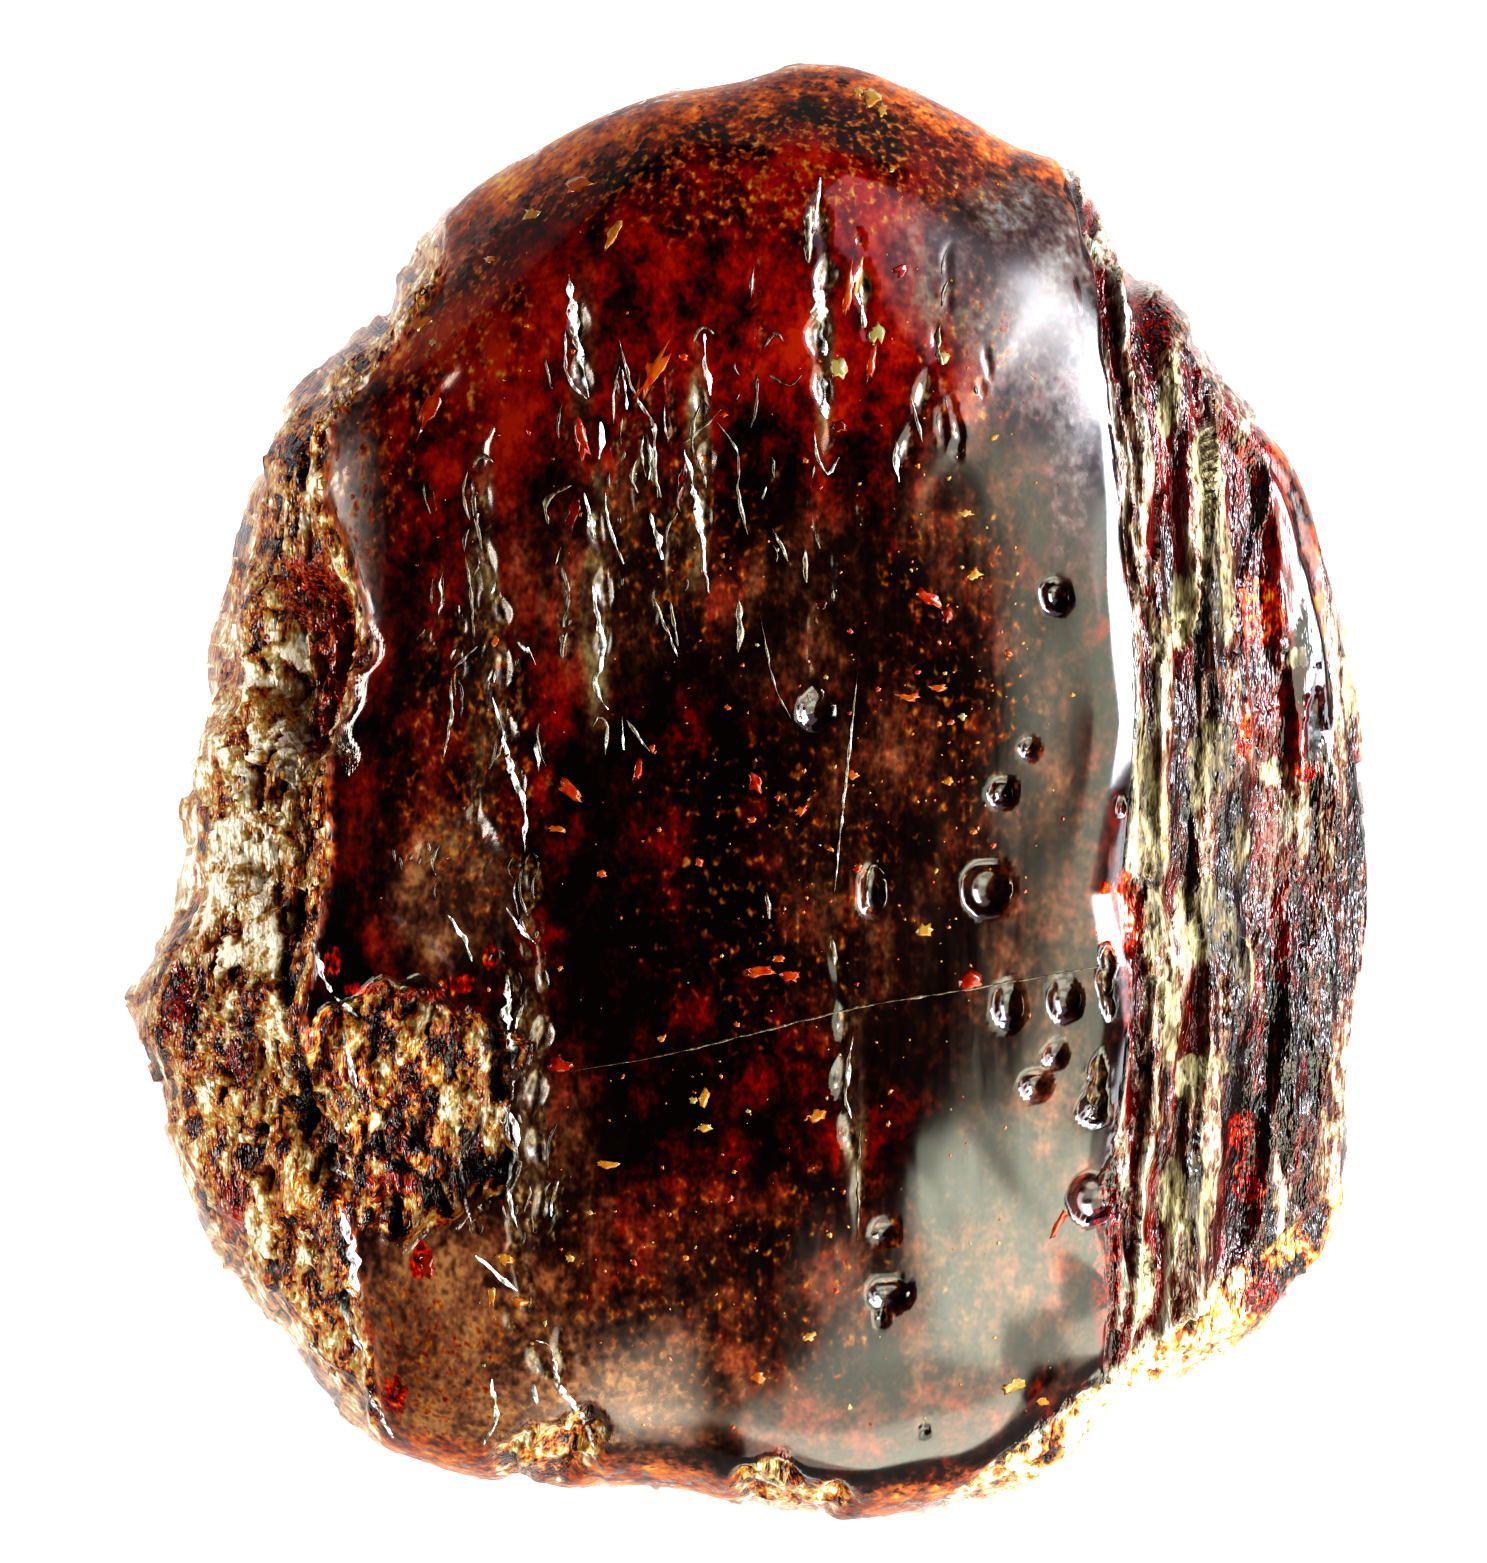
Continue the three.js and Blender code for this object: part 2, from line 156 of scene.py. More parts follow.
def rim_wave(angle):
    return sum(height * np.sin(turns * angle + phase) for turns, phase, height in RIM_WAVES)


def corner_reach(x, y):
    return 0.62 * x - 0.78 * y - 44.5


def front_rise(x, y, level):
    rise = soft_min((FACE_RISE - FACE_CROWN * x * x) * level, 18.8 - 0.88 * (x - ridge_x(y)), 1.0)
    rise = soft_min(rise, 16.9 - 0.78 * (left_edge_x(y) - x), 1.2)
    for dx, dy, reach, height, slope in FACE_BREAKS:
        rise = soft_min(rise, height - slope * (x * dx + y * dy - reach), 3.5)
    return rise


def back_drop(x, y, bowl):
    for dx, dy, reach, slope in BACK_BREAKS:
        bowl = soft_min(bowl, slope * (reach - x * dx - y * dy), 1.5)
    return bowl


# %% [markdown]
# The flank's ribs, the sunken fracture patches, the slits and the opened bubbles are relief on that form. The ribs are
# given as height against the distance from the ridge, and the rest by place and size.

# %%
# Large relief, in millimetres
RIBS = np.array([  # distance from the ridge, height
    (0, 0), (1.4, 0.0), (1.8, -0.45), (2.1, 0.05), (2.4, -0.45), (2.8, 0.15), (3.2, 0.25), (3.7, -0.2), (4.1, -0.9),
    (5.2, -1.0), (5.8, 0.1), (6.4, 0.4), (7.4, 0.45), (8.2, 0.25), (8.8, -0.7), (9.6, -1.2), (10.8, -1.1),
    (11.2, -0.8), (11.5, 0.1), (12.2, 0.33), (12.9, 0.55), (13.6, 0.74), (14.3, 0.87), (14.7, 0.2), (15.5, 0.1), (17, 0),
])
HOLLOWS = (  # centre x, y, half width, half height, depth, softness of the edge
    (-22.2, -20.6, 7.2, 7.4, 1.8, 0.8), (-18.6, -6.6, 3.4, 4.2, 0.5, 1.0), (-28.9, 8.4, 2.9, 6.2, 2.4, 1.5),
    (-32.6, -1.5, 3.0, 5.4, 1.0, 1.5), (-12.9, -43.4, 4.0, 2.3, 1.2, 0.8), (2.6, -46.2, 3.2, 1.9, 1.3, 0.7),
)
SLITS = (  # top x, y, bottom x, y, width, depth
    (-11.4, 33.8, -9.8, 24.4, 1.5, 0.6), (-9.6, 21.8, -9.0, 5.6, 1.4, 0.5), (-3.0, 29.8, -2.3, 13.4, 1.3, 0.5),
    (4.8, 39.8, 5.2, 21.6, 1.6, 0.7), (6.9, 36.6, 8.2, 29.2, 1.2, 0.5), (12.4, 30.6, 10.0, 19.4, 1.0, 0.4),
    (-17.2, 21.8, -14.4, -3.2, 1.4, 0.5), (-13.2, -10.2, -13.6, -30.4, 1.6, 0.7), (-15.6, -33.4, -9.4, -42.6, 1.3, 0.6),
    (5.6, -9.4, 7.4, -29.0, 1.3, 0.4),
)
PITS = (  # x, y, radius along x, radius along y, depth
    (15.6, -6.2, 1.6, 1.7, 1.3), (8.2, -6.4, 0.9, 1.6, 0.9), (17.0, -13.7, 1.0, 1.5, 0.8), (20.6, -13.4, 1.1, 1.3, 0.8),
    (20.0, 12.8, 0.9, 1.0, 0.8), (16.5, 0.0, 0.8, 0.8, 0.7), (18.7, -18.9, 0.9, 0.9, 0.7), (22.4, -26.3, 1.5, 1.6, 1.1),
    (4.6, 5.3, 1.3, 1.2, 0.7), (9.3, -32.4, 1.4, 0.9, 0.8), (18.3, 2.9, 0.5, 0.5, 0.6), (20.0, -17.0, 0.7, 0.7, 0.6),
    (22.4, -20.5, 0.9, 0.9, 0.7), (9.0, -28.4, 0.9, 0.6, 0.5), (8.8, -33.8, 0.4, 0.6, 0.5), (11.6, -41.4, 0.4, 0.4, 0.4),
)
LEFT_STATION, RIDGE_STATION = -0.74, 0.61


def lumps(x, y, z):
    broad = np.sin(0.31 * x + 0.9 * np.sin(0.21 * y) + 0.4) * np.sin(0.27 * y - 0.23 * z + 1.3)
    small = np.sin(0.74 * x - 0.41 * z) * np.sin(0.58 * y + 0.66 * z + 0.8 * np.sin(0.5 * x))
    mixed = 0.6 * broad + 0.4 * small
    return mixed + 0.11 * np.sin(9 * mixed)


def sunk_depth(x, y):
    """Depth of the fracture patches, which have wandering edges and rounded corners."""
    wander_x = x + 0.9 * np.sin(0.62 * y + 0.3 * x) + 0.35 * np.sin(1.7 * y + 1.3)
    wander_y = y + 0.9 * np.sin(0.55 * x - 0.2 * y + 2) + 0.35 * np.sin(1.9 * x)
    sunk = np.zeros_like(x)
    for at_x, at_y, half_wide, half_high, depth, soft in HOLLOWS:
        corner_radius = 0.8 * min(half_wide, half_high)
        out_x = np.maximum(np.abs(wander_x - at_x) - half_wide + corner_radius, 0)
        out_y = np.maximum(np.abs(wander_y - at_y) - half_high + corner_radius, 0)
        sunk += depth * (1 - smoothstep(np.hypot(out_x, out_y) - corner_radius, -soft, soft))
    return sunk


def slit_depth(x, y):
    cut = np.zeros_like(x)
    for top_x, top_y, bottom_x, bottom_y, width, depth in SLITS:
        length = math.hypot(top_x - bottom_x, top_y - bottom_y)
        along = np.clip((top_y - y) / (top_y - bottom_y), 0, 1)
        wave = 0.4 * np.sin(along * length * 0.55 + top_x) * (0.7 + 0.3 * np.sin(along * length * 1.3))
        taper = np.sqrt(np.sin(math.pi * along)) * (0.7 + 0.45 * np.sin(along * length * 1.7 + 2 * top_x))
        aside = np.abs(x - top_x - (bottom_x - top_x) * along - wave) / (width / 2 * np.maximum(taper, 0.05))
        cut = np.maximum(cut, depth * taper * np.clip(1 - aside, 0, 1) ** 0.8)
    return cut


def pit_depth(x, y):
    cut = np.zeros_like(x)
    for at_x, at_y, wide, high, depth in PITS:
        away = np.hypot((x - at_x) / wide, (y - at_y) / high)
        cut = np.maximum(cut, depth * np.sqrt(np.clip(1 - away**2, 0, 1)))
    return cut


# %% [markdown]
# The body starts as a cube whose edges are cut into a fine grid, close enough for ribs of half a millimetre. Each
# point of the grid is then moved to its place: the cube's top becomes the face, and its four sides the rim. The grid's
# columns run along the ridge and the ribs, so these stay crisp. The back has no such fine lines, so a coarser grid
# takes the place of the cube's underside, and a strip of faces bridges the two.

# %%
# The cube's grid
COLUMNS = (36, 188, 88)  # rough skin, polished face, grained flank
ROWS, RIM_ROWS = 240, 13
BACK_COLUMNS, BACK_ROWS, BACK_SIZE = 62, 74, 0.985
ROW_SPREAD = 0.7

body_mesh = bmesh.new()
bmesh.ops.create_cube(body_mesh, size=2)
underside = [face for face in body_mesh.faces if face.calc_center_median().z < -0.9]
bmesh.ops.delete(body_mesh, geom=underside, context="FACES_ONLY")
for axis, cuts in enumerate((sum(COLUMNS) - 1, ROWS - 1, RIM_ROWS - 1)):
    along_axis = [e for e in body_mesh.edges if abs(e.verts[0].co[axis] - e.verts[1].co[axis]) > 1.9]
    bmesh.ops.subdivide_edges(body_mesh, edges=along_axis, cuts=cuts, use_grid_fill=True)
bmesh.ops.create_grid(
    body_mesh, x_segments=BACK_COLUMNS, y_segments=BACK_ROWS, size=BACK_SIZE, matrix=Matrix.Translation((0, 0, -1))
)
open_edges = [edge for edge in body_mesh.edges if edge.is_boundary]
bmesh.ops.bridge_loops(body_mesh, edges=open_edges)
bmesh.ops.recalc_face_normals(body_mesh, faces=body_mesh.faces)
print("grid", len(body_mesh.verts), "points,", sum(len(f.verts) - 2 for f in body_mesh.faces), "triangles")
print("open edges left", sum(edge.is_boundary for edge in body_mesh.edges))

grid = np.array([v.co[:] for v in body_mesh.verts])
ends = np.cumsum((0, *COLUMNS)) / sum(COLUMNS) * 2 - 1
across = np.interp(grid[:, 0], ends, (-1, LEFT_STATION, RIDGE_STATION, 1))
b, c = grid[:, 1], grid[:, 2]


def on_disc(across, b):
    rows = np.where(b < 0, ROW_SPREAD, 0.5)
    u, v = across * np.sqrt(1 - (1 - rows) * b * b), b * np.sqrt(1 - rows * across * across)
    return np.arctan2(v, u), np.minimum(np.hypot(u, v), 1)


def edge_shift(station, edge_x):
    angle, reach = on_disc(np.full_like(b, station), b)
    radius = outline_radius(angle) * FACE_SHARE * reach
    return (edge_x(radius * np.sin(angle)) - radius * np.cos(angle)) * (1 - b**6)


front, top, bottom = c >= 0, c > 1 - 1e-4, c < -1 + 1e-4
power = np.where(front, FACE_POWER, BACK_POWER)
border = np.where(front, FACE_SHARE, BACK_SHARE)
angle, reach = on_disc(across, b)
share = np.where(top | bottom, reach * border, np.cos(c * np.arccos(border ** (power / 2))) ** (2 / power))
x, y = outline_radius(angle) * share * np.cos(angle), outline_radius(angle) * share * np.sin(angle)
left_part = (across + 1) / (LEFT_STATION + 1)
middle_part = (across - LEFT_STATION) / (RIDGE_STATION - LEFT_STATION)
right_part = (1 - across) / (1 - RIDGE_STATION)
left_shift, ridge_shift = edge_shift(LEFT_STATION, left_edge_x), edge_shift(RIDGE_STATION, ridge_x)
shift = np.where(across < LEFT_STATION, left_part * left_shift, (1 - middle_part) * left_shift + middle_part * ridge_shift)
shift = np.where(across > RIDGE_STATION, right_part * ridge_shift, shift)
x = x + np.where(top, shift, 0)
angle = np.arctan2(y, x)
radius = outline_radius(angle)
share = np.where(top, np.minimum(np.hypot(x, y) / radius, np.where(share > border - 1e-6, border, 1)), share)

# %%
# From the grid to the smooth nugget
level = np.sign(c) * np.maximum(1 - share**power, 0) ** (1 / power)
rise = np.where(level > 0, front_rise(x, y, level), -back_drop(x, y, -BACK_DROP * level))
z = RIM_HEIGHT + rim_wave(angle) * share**2 + rise
outward = np.stack([
    np.cos(angle) * share ** (power - 1) / radius,
    np.sin(angle) * share ** (power - 1) / radius,
    np.sign(level) * np.abs(level) ** (power - 1) / np.where(level > 0, FACE_RISE, BACK_DROP),
], 1)
outward /= np.linalg.norm(outward, axis=1)[:, None]
smooth = np.stack([x, y, z], 1)
print("smooth form", smooth.min(0).round(1), smooth.max(0).round(1))

# %% [markdown]
# Resin breaks in flat chips, each tilted its own way, and old bark leaves long splinters. Both can be made from the
# same idea: space is parted into cells, and the surface in each cell is tilted by chance, always the same for the same
# place. Long narrow cells give splinters, and round ones give chips. Each cell also keeps a number for its shade.

# %%
# Chance by place


def fractal(size, octaves=4, shift=0.0):
    """Smooth chance heights for bumps of a size in millimetres along each axis: mean 0, spread 1."""
    heights = np.array([noise.fractal(Vector(place), 0.9, 2.1, octaves) for place in smooth / size + shift])
    return (heights - heights.mean()) / heights.std()


def chips(size, shift=0.0):
    """Flat chips of a size in millimetres: their height, about -0.5 to 0.5, and a shade from 0 to 1 for each."""
    heights, shades = [], []
    for place in smooth / size + shift:
        spot = Vector(place)
        spot += 0.35 * noise.noise_vector(spot * 1.3)
        centre = noise.voronoi(spot)[1][0]
        heights.append((spot - centre).dot(noise.cell_vector(centre * 9.7) * 2 - Vector((1, 1, 1))))
        shades.append(noise.cell(centre * 5.3) / 2 + 0.5)
    return np.array(heights), np.array(shades)


sway = fractal((50, 12, 50), 3)
crumb = fractal((2.4, 3.8, 2.4), 5)
grit = fractal((0.8, 1.1, 0.8), 4, 3.1)
ripple = fractal((11, 16, 11), 2, 1.7)
splinter, splinter_shade = chips((1.2, 12, 4), 3.0)
chunk, chunk_shade = chips((2.4, 4.0, 2.4))
chip, chip_shade = chips((0.9, 1.7, 0.9), 7.0)
print("chips", [round(float(v.std()), 2) for v in (splinter, chunk, chip)])

# %%
# Relief of the flanks, the hollows and the rim


def blob(at_x, at_y, wide, high, soft=0.5):
    """1 inside an ellipse, fading to 0 past its edge."""
    return 1 - smoothstep(np.hypot((x - at_x) / wide, (y - at_y) / high), 1 - soft, 1 + soft)


ghost = blob(-18.8, -6.4, 5, 6.5, 0.4)  # a shallow hollow that is hazed, not crusted
corner = smoothstep(corner_reach(x, y), -0.9, 0.7)
flank = (across - RIDGE_STATION) / (1 - RIDGE_STATION)
past_ridge = x - ridge_x(y)
on_flank = np.where(front, smoothstep(flank, 0, 0.02), 0) * (1 - corner)
glassy = on_flank * smoothstep(past_ridge, 11.1, 11.6) * (1 - smoothstep(past_ridge, 14.0, 14.6)) * smoothstep(y, 0, 4)
ribs = np.interp(past_ridge + 0.3 * sway, *RIBS.T) * on_flank * (0.9 + 0.2 * sway) * (1 - smoothstep(flank, 0.93, 1))
calm = 1 - 0.6 * smoothstep(share, 0.9, 0.98)
in_valley = np.clip(-ribs, 0, 1)
splinters = calm * on_flank * smoothstep(past_ridge, 1.2, 2.0) * (1 - 0.9 * glassy) * (1 - 0.5 * in_valley)
splinters *= 0.9 * splinter + 0.3 * chip
beyond = left_edge_x(y) - x
sunk = sunk_depth(x, y)
rough = np.maximum.reduce([smoothstep(beyond, -1.2, 0.2), np.minimum(sunk, 1) * (1 - ghost), corner])
front_relief = ribs + rough * lumps(*smooth.T) - sunk - 1.1 * smoothstep(beyond, 0, 1.2)
back_relief = 1.1 * lumps(*smooth.T)
fade = smoothstep(level, 0, 0.3)
skin = np.clip(1 - fade * (1 - rough), 0, 1)
fine = np.where(top, 1, np.where(bottom, 0, 0.5))
crust_relief = calm * (1.1 * chunk + fine * (0.7 * chip + 0.12 * crumb + 0.06 * grit))
relief = fade * (front_relief + splinters) + (1 - fade) * back_relief + skin * crust_relief
points = smooth + outward * relief[:, None]
print("form", points.min(0).round(2), points.max(0).round(2))

# %% [markdown]
# The bark left short upright dents in the polished face: almond-shaped cells whose thin walls catch the light. They
# are too many to place by hand, so a seeded generator scatters them in the fields where the photograph has them. The
# named slits and the bubbles are cut after them.

# %%
# Dents, slits and bubbles in the face
DENT_FIELDS = (  # centre x, y, spread x, y, how many chains, half width, half length, depth
    (-8.5, 20.0, 5.0, 6.0, 24, 0.5, 1.9, 0.2), (-17.0, 9.0, 2.4, 8.0, 18, 0.5, 1.8, 0.2),
    (4.0, 16.0, 2.6, 4.0, 9, 0.4, 1.1, 0.15), (-14.0, -24.0, 1.8, 8.0, 15, 0.5, 1.8, 0.25),
    (12.0, 24.0, 2.0, 4.0, 5, 0.35, 1.2, 0.15), (24.6, -18.0, 1.2, 8.0, 16, 0.6, 0.8, 0.6),
    (-20.0, -3.0, 2.5, 4.0, 8, 0.45, 1.2, 0.15), (0.5, 28.0, 2.0, 1.5, 3, 0.45, 0.6, 0.15),
)
LONGEST_CHAIN, FACE_REACH = 4, 0.9
rng = np.random.default_rng(11)
dents, lips = np.zeros_like(x), np.zeros_like(x)
dent_list = []
for at_x, at_y, spread_x, spread_y, chains, half_wide, half_long, depth in DENT_FIELDS:
    for _ in range(chains):
        dx, dy = rng.normal(at_x, spread_x), rng.normal(at_y, spread_y)
        for _ in range(rng.integers(1, LONGEST_CHAIN + 1)):
            wide, long, lean = half_wide * rng.uniform(0.4, 1.3), half_long * rng.uniform(0.3, 1.3), rng.normal(0, 0.1)
            if math.hypot(dx, dy) > FACE_REACH * outline_radius(math.atan2(dy, dx)):
                continue
            dent_list.append((dx, dy, wide, long, lean))
            near = np.flatnonzero(top & (np.abs(y - dy) < long * 2) & (np.abs(x - dx) < 3))
            off_x, off_y = x[near] - dx, y[near] - dy
            almond = wide * np.clip(1 - (off_y / long) ** 2, 0.05, 1)
            away = np.abs(off_x - lean * off_y + 0.15 * np.sin(3 * off_y)) / almond
            inside = np.abs(off_y) < long
            dents[near] = np.maximum(dents[near], np.where(inside, depth * np.clip(1 - away, 0, 1) ** 0.7, 0))
            lips[near] = np.maximum(lips[near], np.where(inside, 0.06 * np.exp(-(((away - 1.1) / 0.3) ** 2)), 0))
            dx, dy = dx + rng.normal(0, 0.3), dy - 1.5 * long
slits, pits = slit_depth(x, y), pit_depth(x, y)
lowered = np.maximum(dents, slits) + pits - lips - 0.06 * ripple * fade
points[:, 2] -= np.where(top, lowered * (1 - smoothstep(rough, 0.2, 0.8)), 0)
print("dents", len(dent_list), "slits", len(SLITS), "bubbles", len(PITS))

# %%
# Ground, and the mesh
points[:, 2] = np.maximum(points[:, 2], 0)
for vertex, place in zip(body_mesh.verts, points * MM):
    vertex.co = place
for face in body_mesh.faces:
    face.smooth = True
amber_body = bpy.data.objects.new("amber_body", bpy.data.meshes.new("amber_body"))
bpy.context.collection.objects.link(amber_body)
body_mesh.to_mesh(amber_body.data)
body_tree = BVHTree.FromBMesh(body_mesh)
body_mesh.free()
print("body", [round(v / MM, 1) for v in amber_body.dimensions])

# %% [markdown]
# Where the resin is clear, hazy, crusted or filled with tan bark shows as zones of the one surface. Some zones also
# carry painted light: glow in the clear resin, the lit spots and the rim, painted shade in gaps and crevices, and a
# painted sheen where the polish is frosted or milky. Each zone is an attribute on the mesh, from 0 to 1, so that the
# material can follow the form. The material then breaks the edges.

# %%
# Places of the finishes, in millimetres
BARK = (  # x, y, half width, half height of each tan remnant
    (29.9, 20.9, 0.8, 2.0), (30.7, 16.4, 0.9, 2.3), (30.8, 12.8, 0.9, 2.3), (28.5, 12.0, 0.6, 1.7),
    (27.1, 10.1, 0.5, 1.2), (30.4, 2.5, 1.0, 1.9), (29.5, 0.5, 0.5, 1.3), (25.8, -0.5, 0.5, 4.1),
    (26.7, -2.4, 0.6, 2.3), (26.5, -7.4, 0.4, 2.4), (32.4, -3.8, 0.6, 1.7), (29.7, -8.1, 1.2, 2.0),
    (31.8, -9.8, 0.4, 1.7), (32.8, -11.6, 0.5, 1.5), (27.5, -13.9, 0.6, 2.8), (29.9, -17.8, 1.1, 0.5),
    (28.8, -19.0, 0.5, 0.9), (27.9, -26.3, 0.6, 1.5), (29.5, -26.6, 0.7, 2.3), (26.1, -32.6, 0.6, 1.9),
    (36.0, 8.8, 0.4, 0.5), (34.7, 1.4, 0.5, 0.6), (39.7, 10.1, 0.3, 4.6), (27.7, 26.0, 0.4, 1.7),
)
GLOWING_GEMS = (  # x, y, half width, half height, how bright each red or orange spot is: its own red, brightened by painted glow
    (27.1, 30.7, 0.5, 1.7, 0.3), (33.7, 23.0, 0.7, 0.8, 0.5), (33.9, 12.0, 1.0, 1.9, 0.9), (32.5, 3.8, 0.6, 1.6, 0.9),
    (36.7, 1.4, 0.8, 0.6, 0.6), (24.2, -8.1, 1.3, 2.4, 0.8), (32.7, -22.3, 0.9, 1.2, 0.5), (33.2, -25.6, 0.8, 1.3, 0.4),
    (23.4, -29.6, 0.8, 4.0, 0.2), (-28.3, 10.1, 1.5, 4.6, 0.8), (-30.1, 13.4, 0.9, 2.0, 0.9), (-29.5, 4.2, 0.9, 1.3, 0.5),
    (-34.5, -27.9, 0.8, 1.6, 0.7), (-26.8, -11.0, 0.5, 0.9, 0.6), (-24.8, -12.8, 1.0, 0.4, 0.7),
    (-21.5, -13.2, 1.8, 0.35, 0.7), (-18.6, -12.3, 1.0, 0.5, 0.8), (-16.5, -10.5, 0.4, 0.8, 0.7),
    (-23.2, -25.6, 1.5, 0.6, 0.8),
    (-20.9, -30.3, 0.7, 1.0, 0.7), (-22.9, -39.2, 0.7, 1.1, 0.6), (-38.1, -13.7, 0.8, 2.0, 0.4),
    (-33.5, -17.7, 0.7, 1.3, 0.3), (34.0, -32.9, 1.6, 0.9, 0.4),
)
SHADOWS = (  # x, y, half width, half height of each dark red gap: the resin's dark red with painted shade
    (28.7, 24.0, 0.8, 6.3), (33.9, 13.0, 1.8, 10.0), (32.0, -3.8, 1.3, 4.0), (32.0, -9.1, 1.3, 2.0),
    (31.7, -21.0, 0.8, 5.3), (23.4, -29.6, 1.0, 7.0), (35.5, -10.0, 1.0, 7.0), (36.5, -22.0, 1.0, 6.0),
)
RED_GLOWS = (  # x, y, half width, half height, how much brighter or darker the clear resin is there: its own red, with painted glow
    (-1, 33, 14, 11, 0.42), (-19, 27, 9, 10, 0.4), (-19, 4, 8, 16, 0.26), (13, 33, 8, 9, 0.32), (-4, -33, 18, 9, 0.1),
    (-3, -4, 9, 14, -0.12), (12, 5, 6, 16, 0.04),
)
HAZES = (  # x, y, half width, half height, how thick the brown haze is
    (-9, 15, 8, 8, 0.55), (-19, 4, 6, 14, 0.3), (-20, -4, 6, 9, 0.4), (-22, -37, 9, 9, 0.9), (-12, -30, 4, 12, 0.6),
    (14, 18, 5, 10, 0.5), (16, 34, 6, 6, 1.0), (4, -34, 22, 9, 0.5), (4, 12, 7, 7, 0.5), (-27, 18, 4, 8, 0.7),
    (-18.8, -6.4, 4, 5.5, 1.1), (9, -4, 7, 14, 0.5),
    (18, -10, 6, 30, 0.5), (-9.6, 12, 1.0, 9, 1.2), (-10.6, 28, 1.0, 6, 0.9), (-3.2, 20, 1.0, 8, 1.0),
    (-17, 8, 1.2, 13, 1.2), (-14, -22, 1.3, 10, 1.0), (5, 30, 0.9, 8, 0.8), (7, -20, 0.8, 9, 0.9),
)
PALES = (  # x, y, half width, half height, how much paler or darker the crust and the grain are there
    # the first, at the lower right corner, whitens the crust there: partly its own pale tone, partly painted white
    # glints
    (27, -40, 10, 6, 0.4), (-34, -1, 6, 10, 0.3), (-33, -28, 6, 9, 0.05), (-22, -20, 8, 8, -0.12),
    (27, 26, 6, 12, 0.3), (35, -18, 5, 12, -0.25), (-29, 26, 6, 10, -0.1),
)
FROSTED_SHEENS = (  # x, y, half width, half height, how frosted the polish is: its grey-lilac colour is a painted sheen
    (18.5, 33.0, 4.5, 9.0, 1.0), (13.0, 36.0, 4.5, 6.0, 0.5), (21.0, 22.0, 1.8, 9.0, 0.6), (-27.5, 23.0, 3.0, 7.0, 0.9),
    (11.0, 42.0, 5.0, 2.5, 0.2),
)
MILKS_AND_SHEENS = (  # x, y, half width, half height, how thick the pinkish brown milkiness is, with a painted pinkish sheen in it
    (-20, -36, 7, 8, 1.0), (-10, -39, 9, 5, 0.7), (-19.2, -6.3, 3.5, 5, 0.6), (-27, 17, 3, 6, 0.6), (-22, 33, 5, 4, 0.4),
)
SPECKLES = (  # x, y, half width, half height, how thick the brown and orange specks are: 0.25 is few and 0.4 a third
    (0, 41, 22, 6, 0.42), (-21, 31, 9, 9, 0.4), (-26, 20, 6, 8, 0.36), (2, -6, 13, 16, 0.28), (14, 8, 8, 18, 0.3),
    (0, -32, 20, 12, 0.28), (-18, 2, 7, 12, 0.33), (-21, -37, 8, 8, 0.33), (-4, 16, 9, 10, 0.3), (14, 28, 6, 8, 0.3),
)


# %%
# Zones of the skin


def spots(places, grow=1.0, soft=0.5):
    """The strongest of several blobs, each as strong as its fifth number, or 1."""
    return np.maximum.reduce([
        blob(at_x, at_y, grow * wide, grow * high, soft) * (strength[0] if strength else 1)
        for at_x, at_y, wide, high, *strength in places
    ])


# The rim's orange is partly the weathered skin and partly painted glow of light through the thin edge.
rim_start = 0.945 - 0.025 * smoothstep(y, -10, 25) - 0.06 * smoothstep(0.75 * y - 0.66 * x, 28, 36)
rim_start -= 0.035 * smoothstep(-y, 37, 43)
margin = 0.8 * smoothstep(beyond, -1.5, -0.6) * fade
in_hollow = np.minimum(sunk, 1) * (1 - smoothstep(beyond, 0, 1.5)) * (1 - corner)
pale = sum(amount * blob(*place, 0.7) for *place, amount in PALES)
cell_shade = np.where(on_flank > 0.5, 0.75 * splinter_shade + 0.25 * chip_shade, 0.4 * chunk_shade + 0.6 * chip_shade)
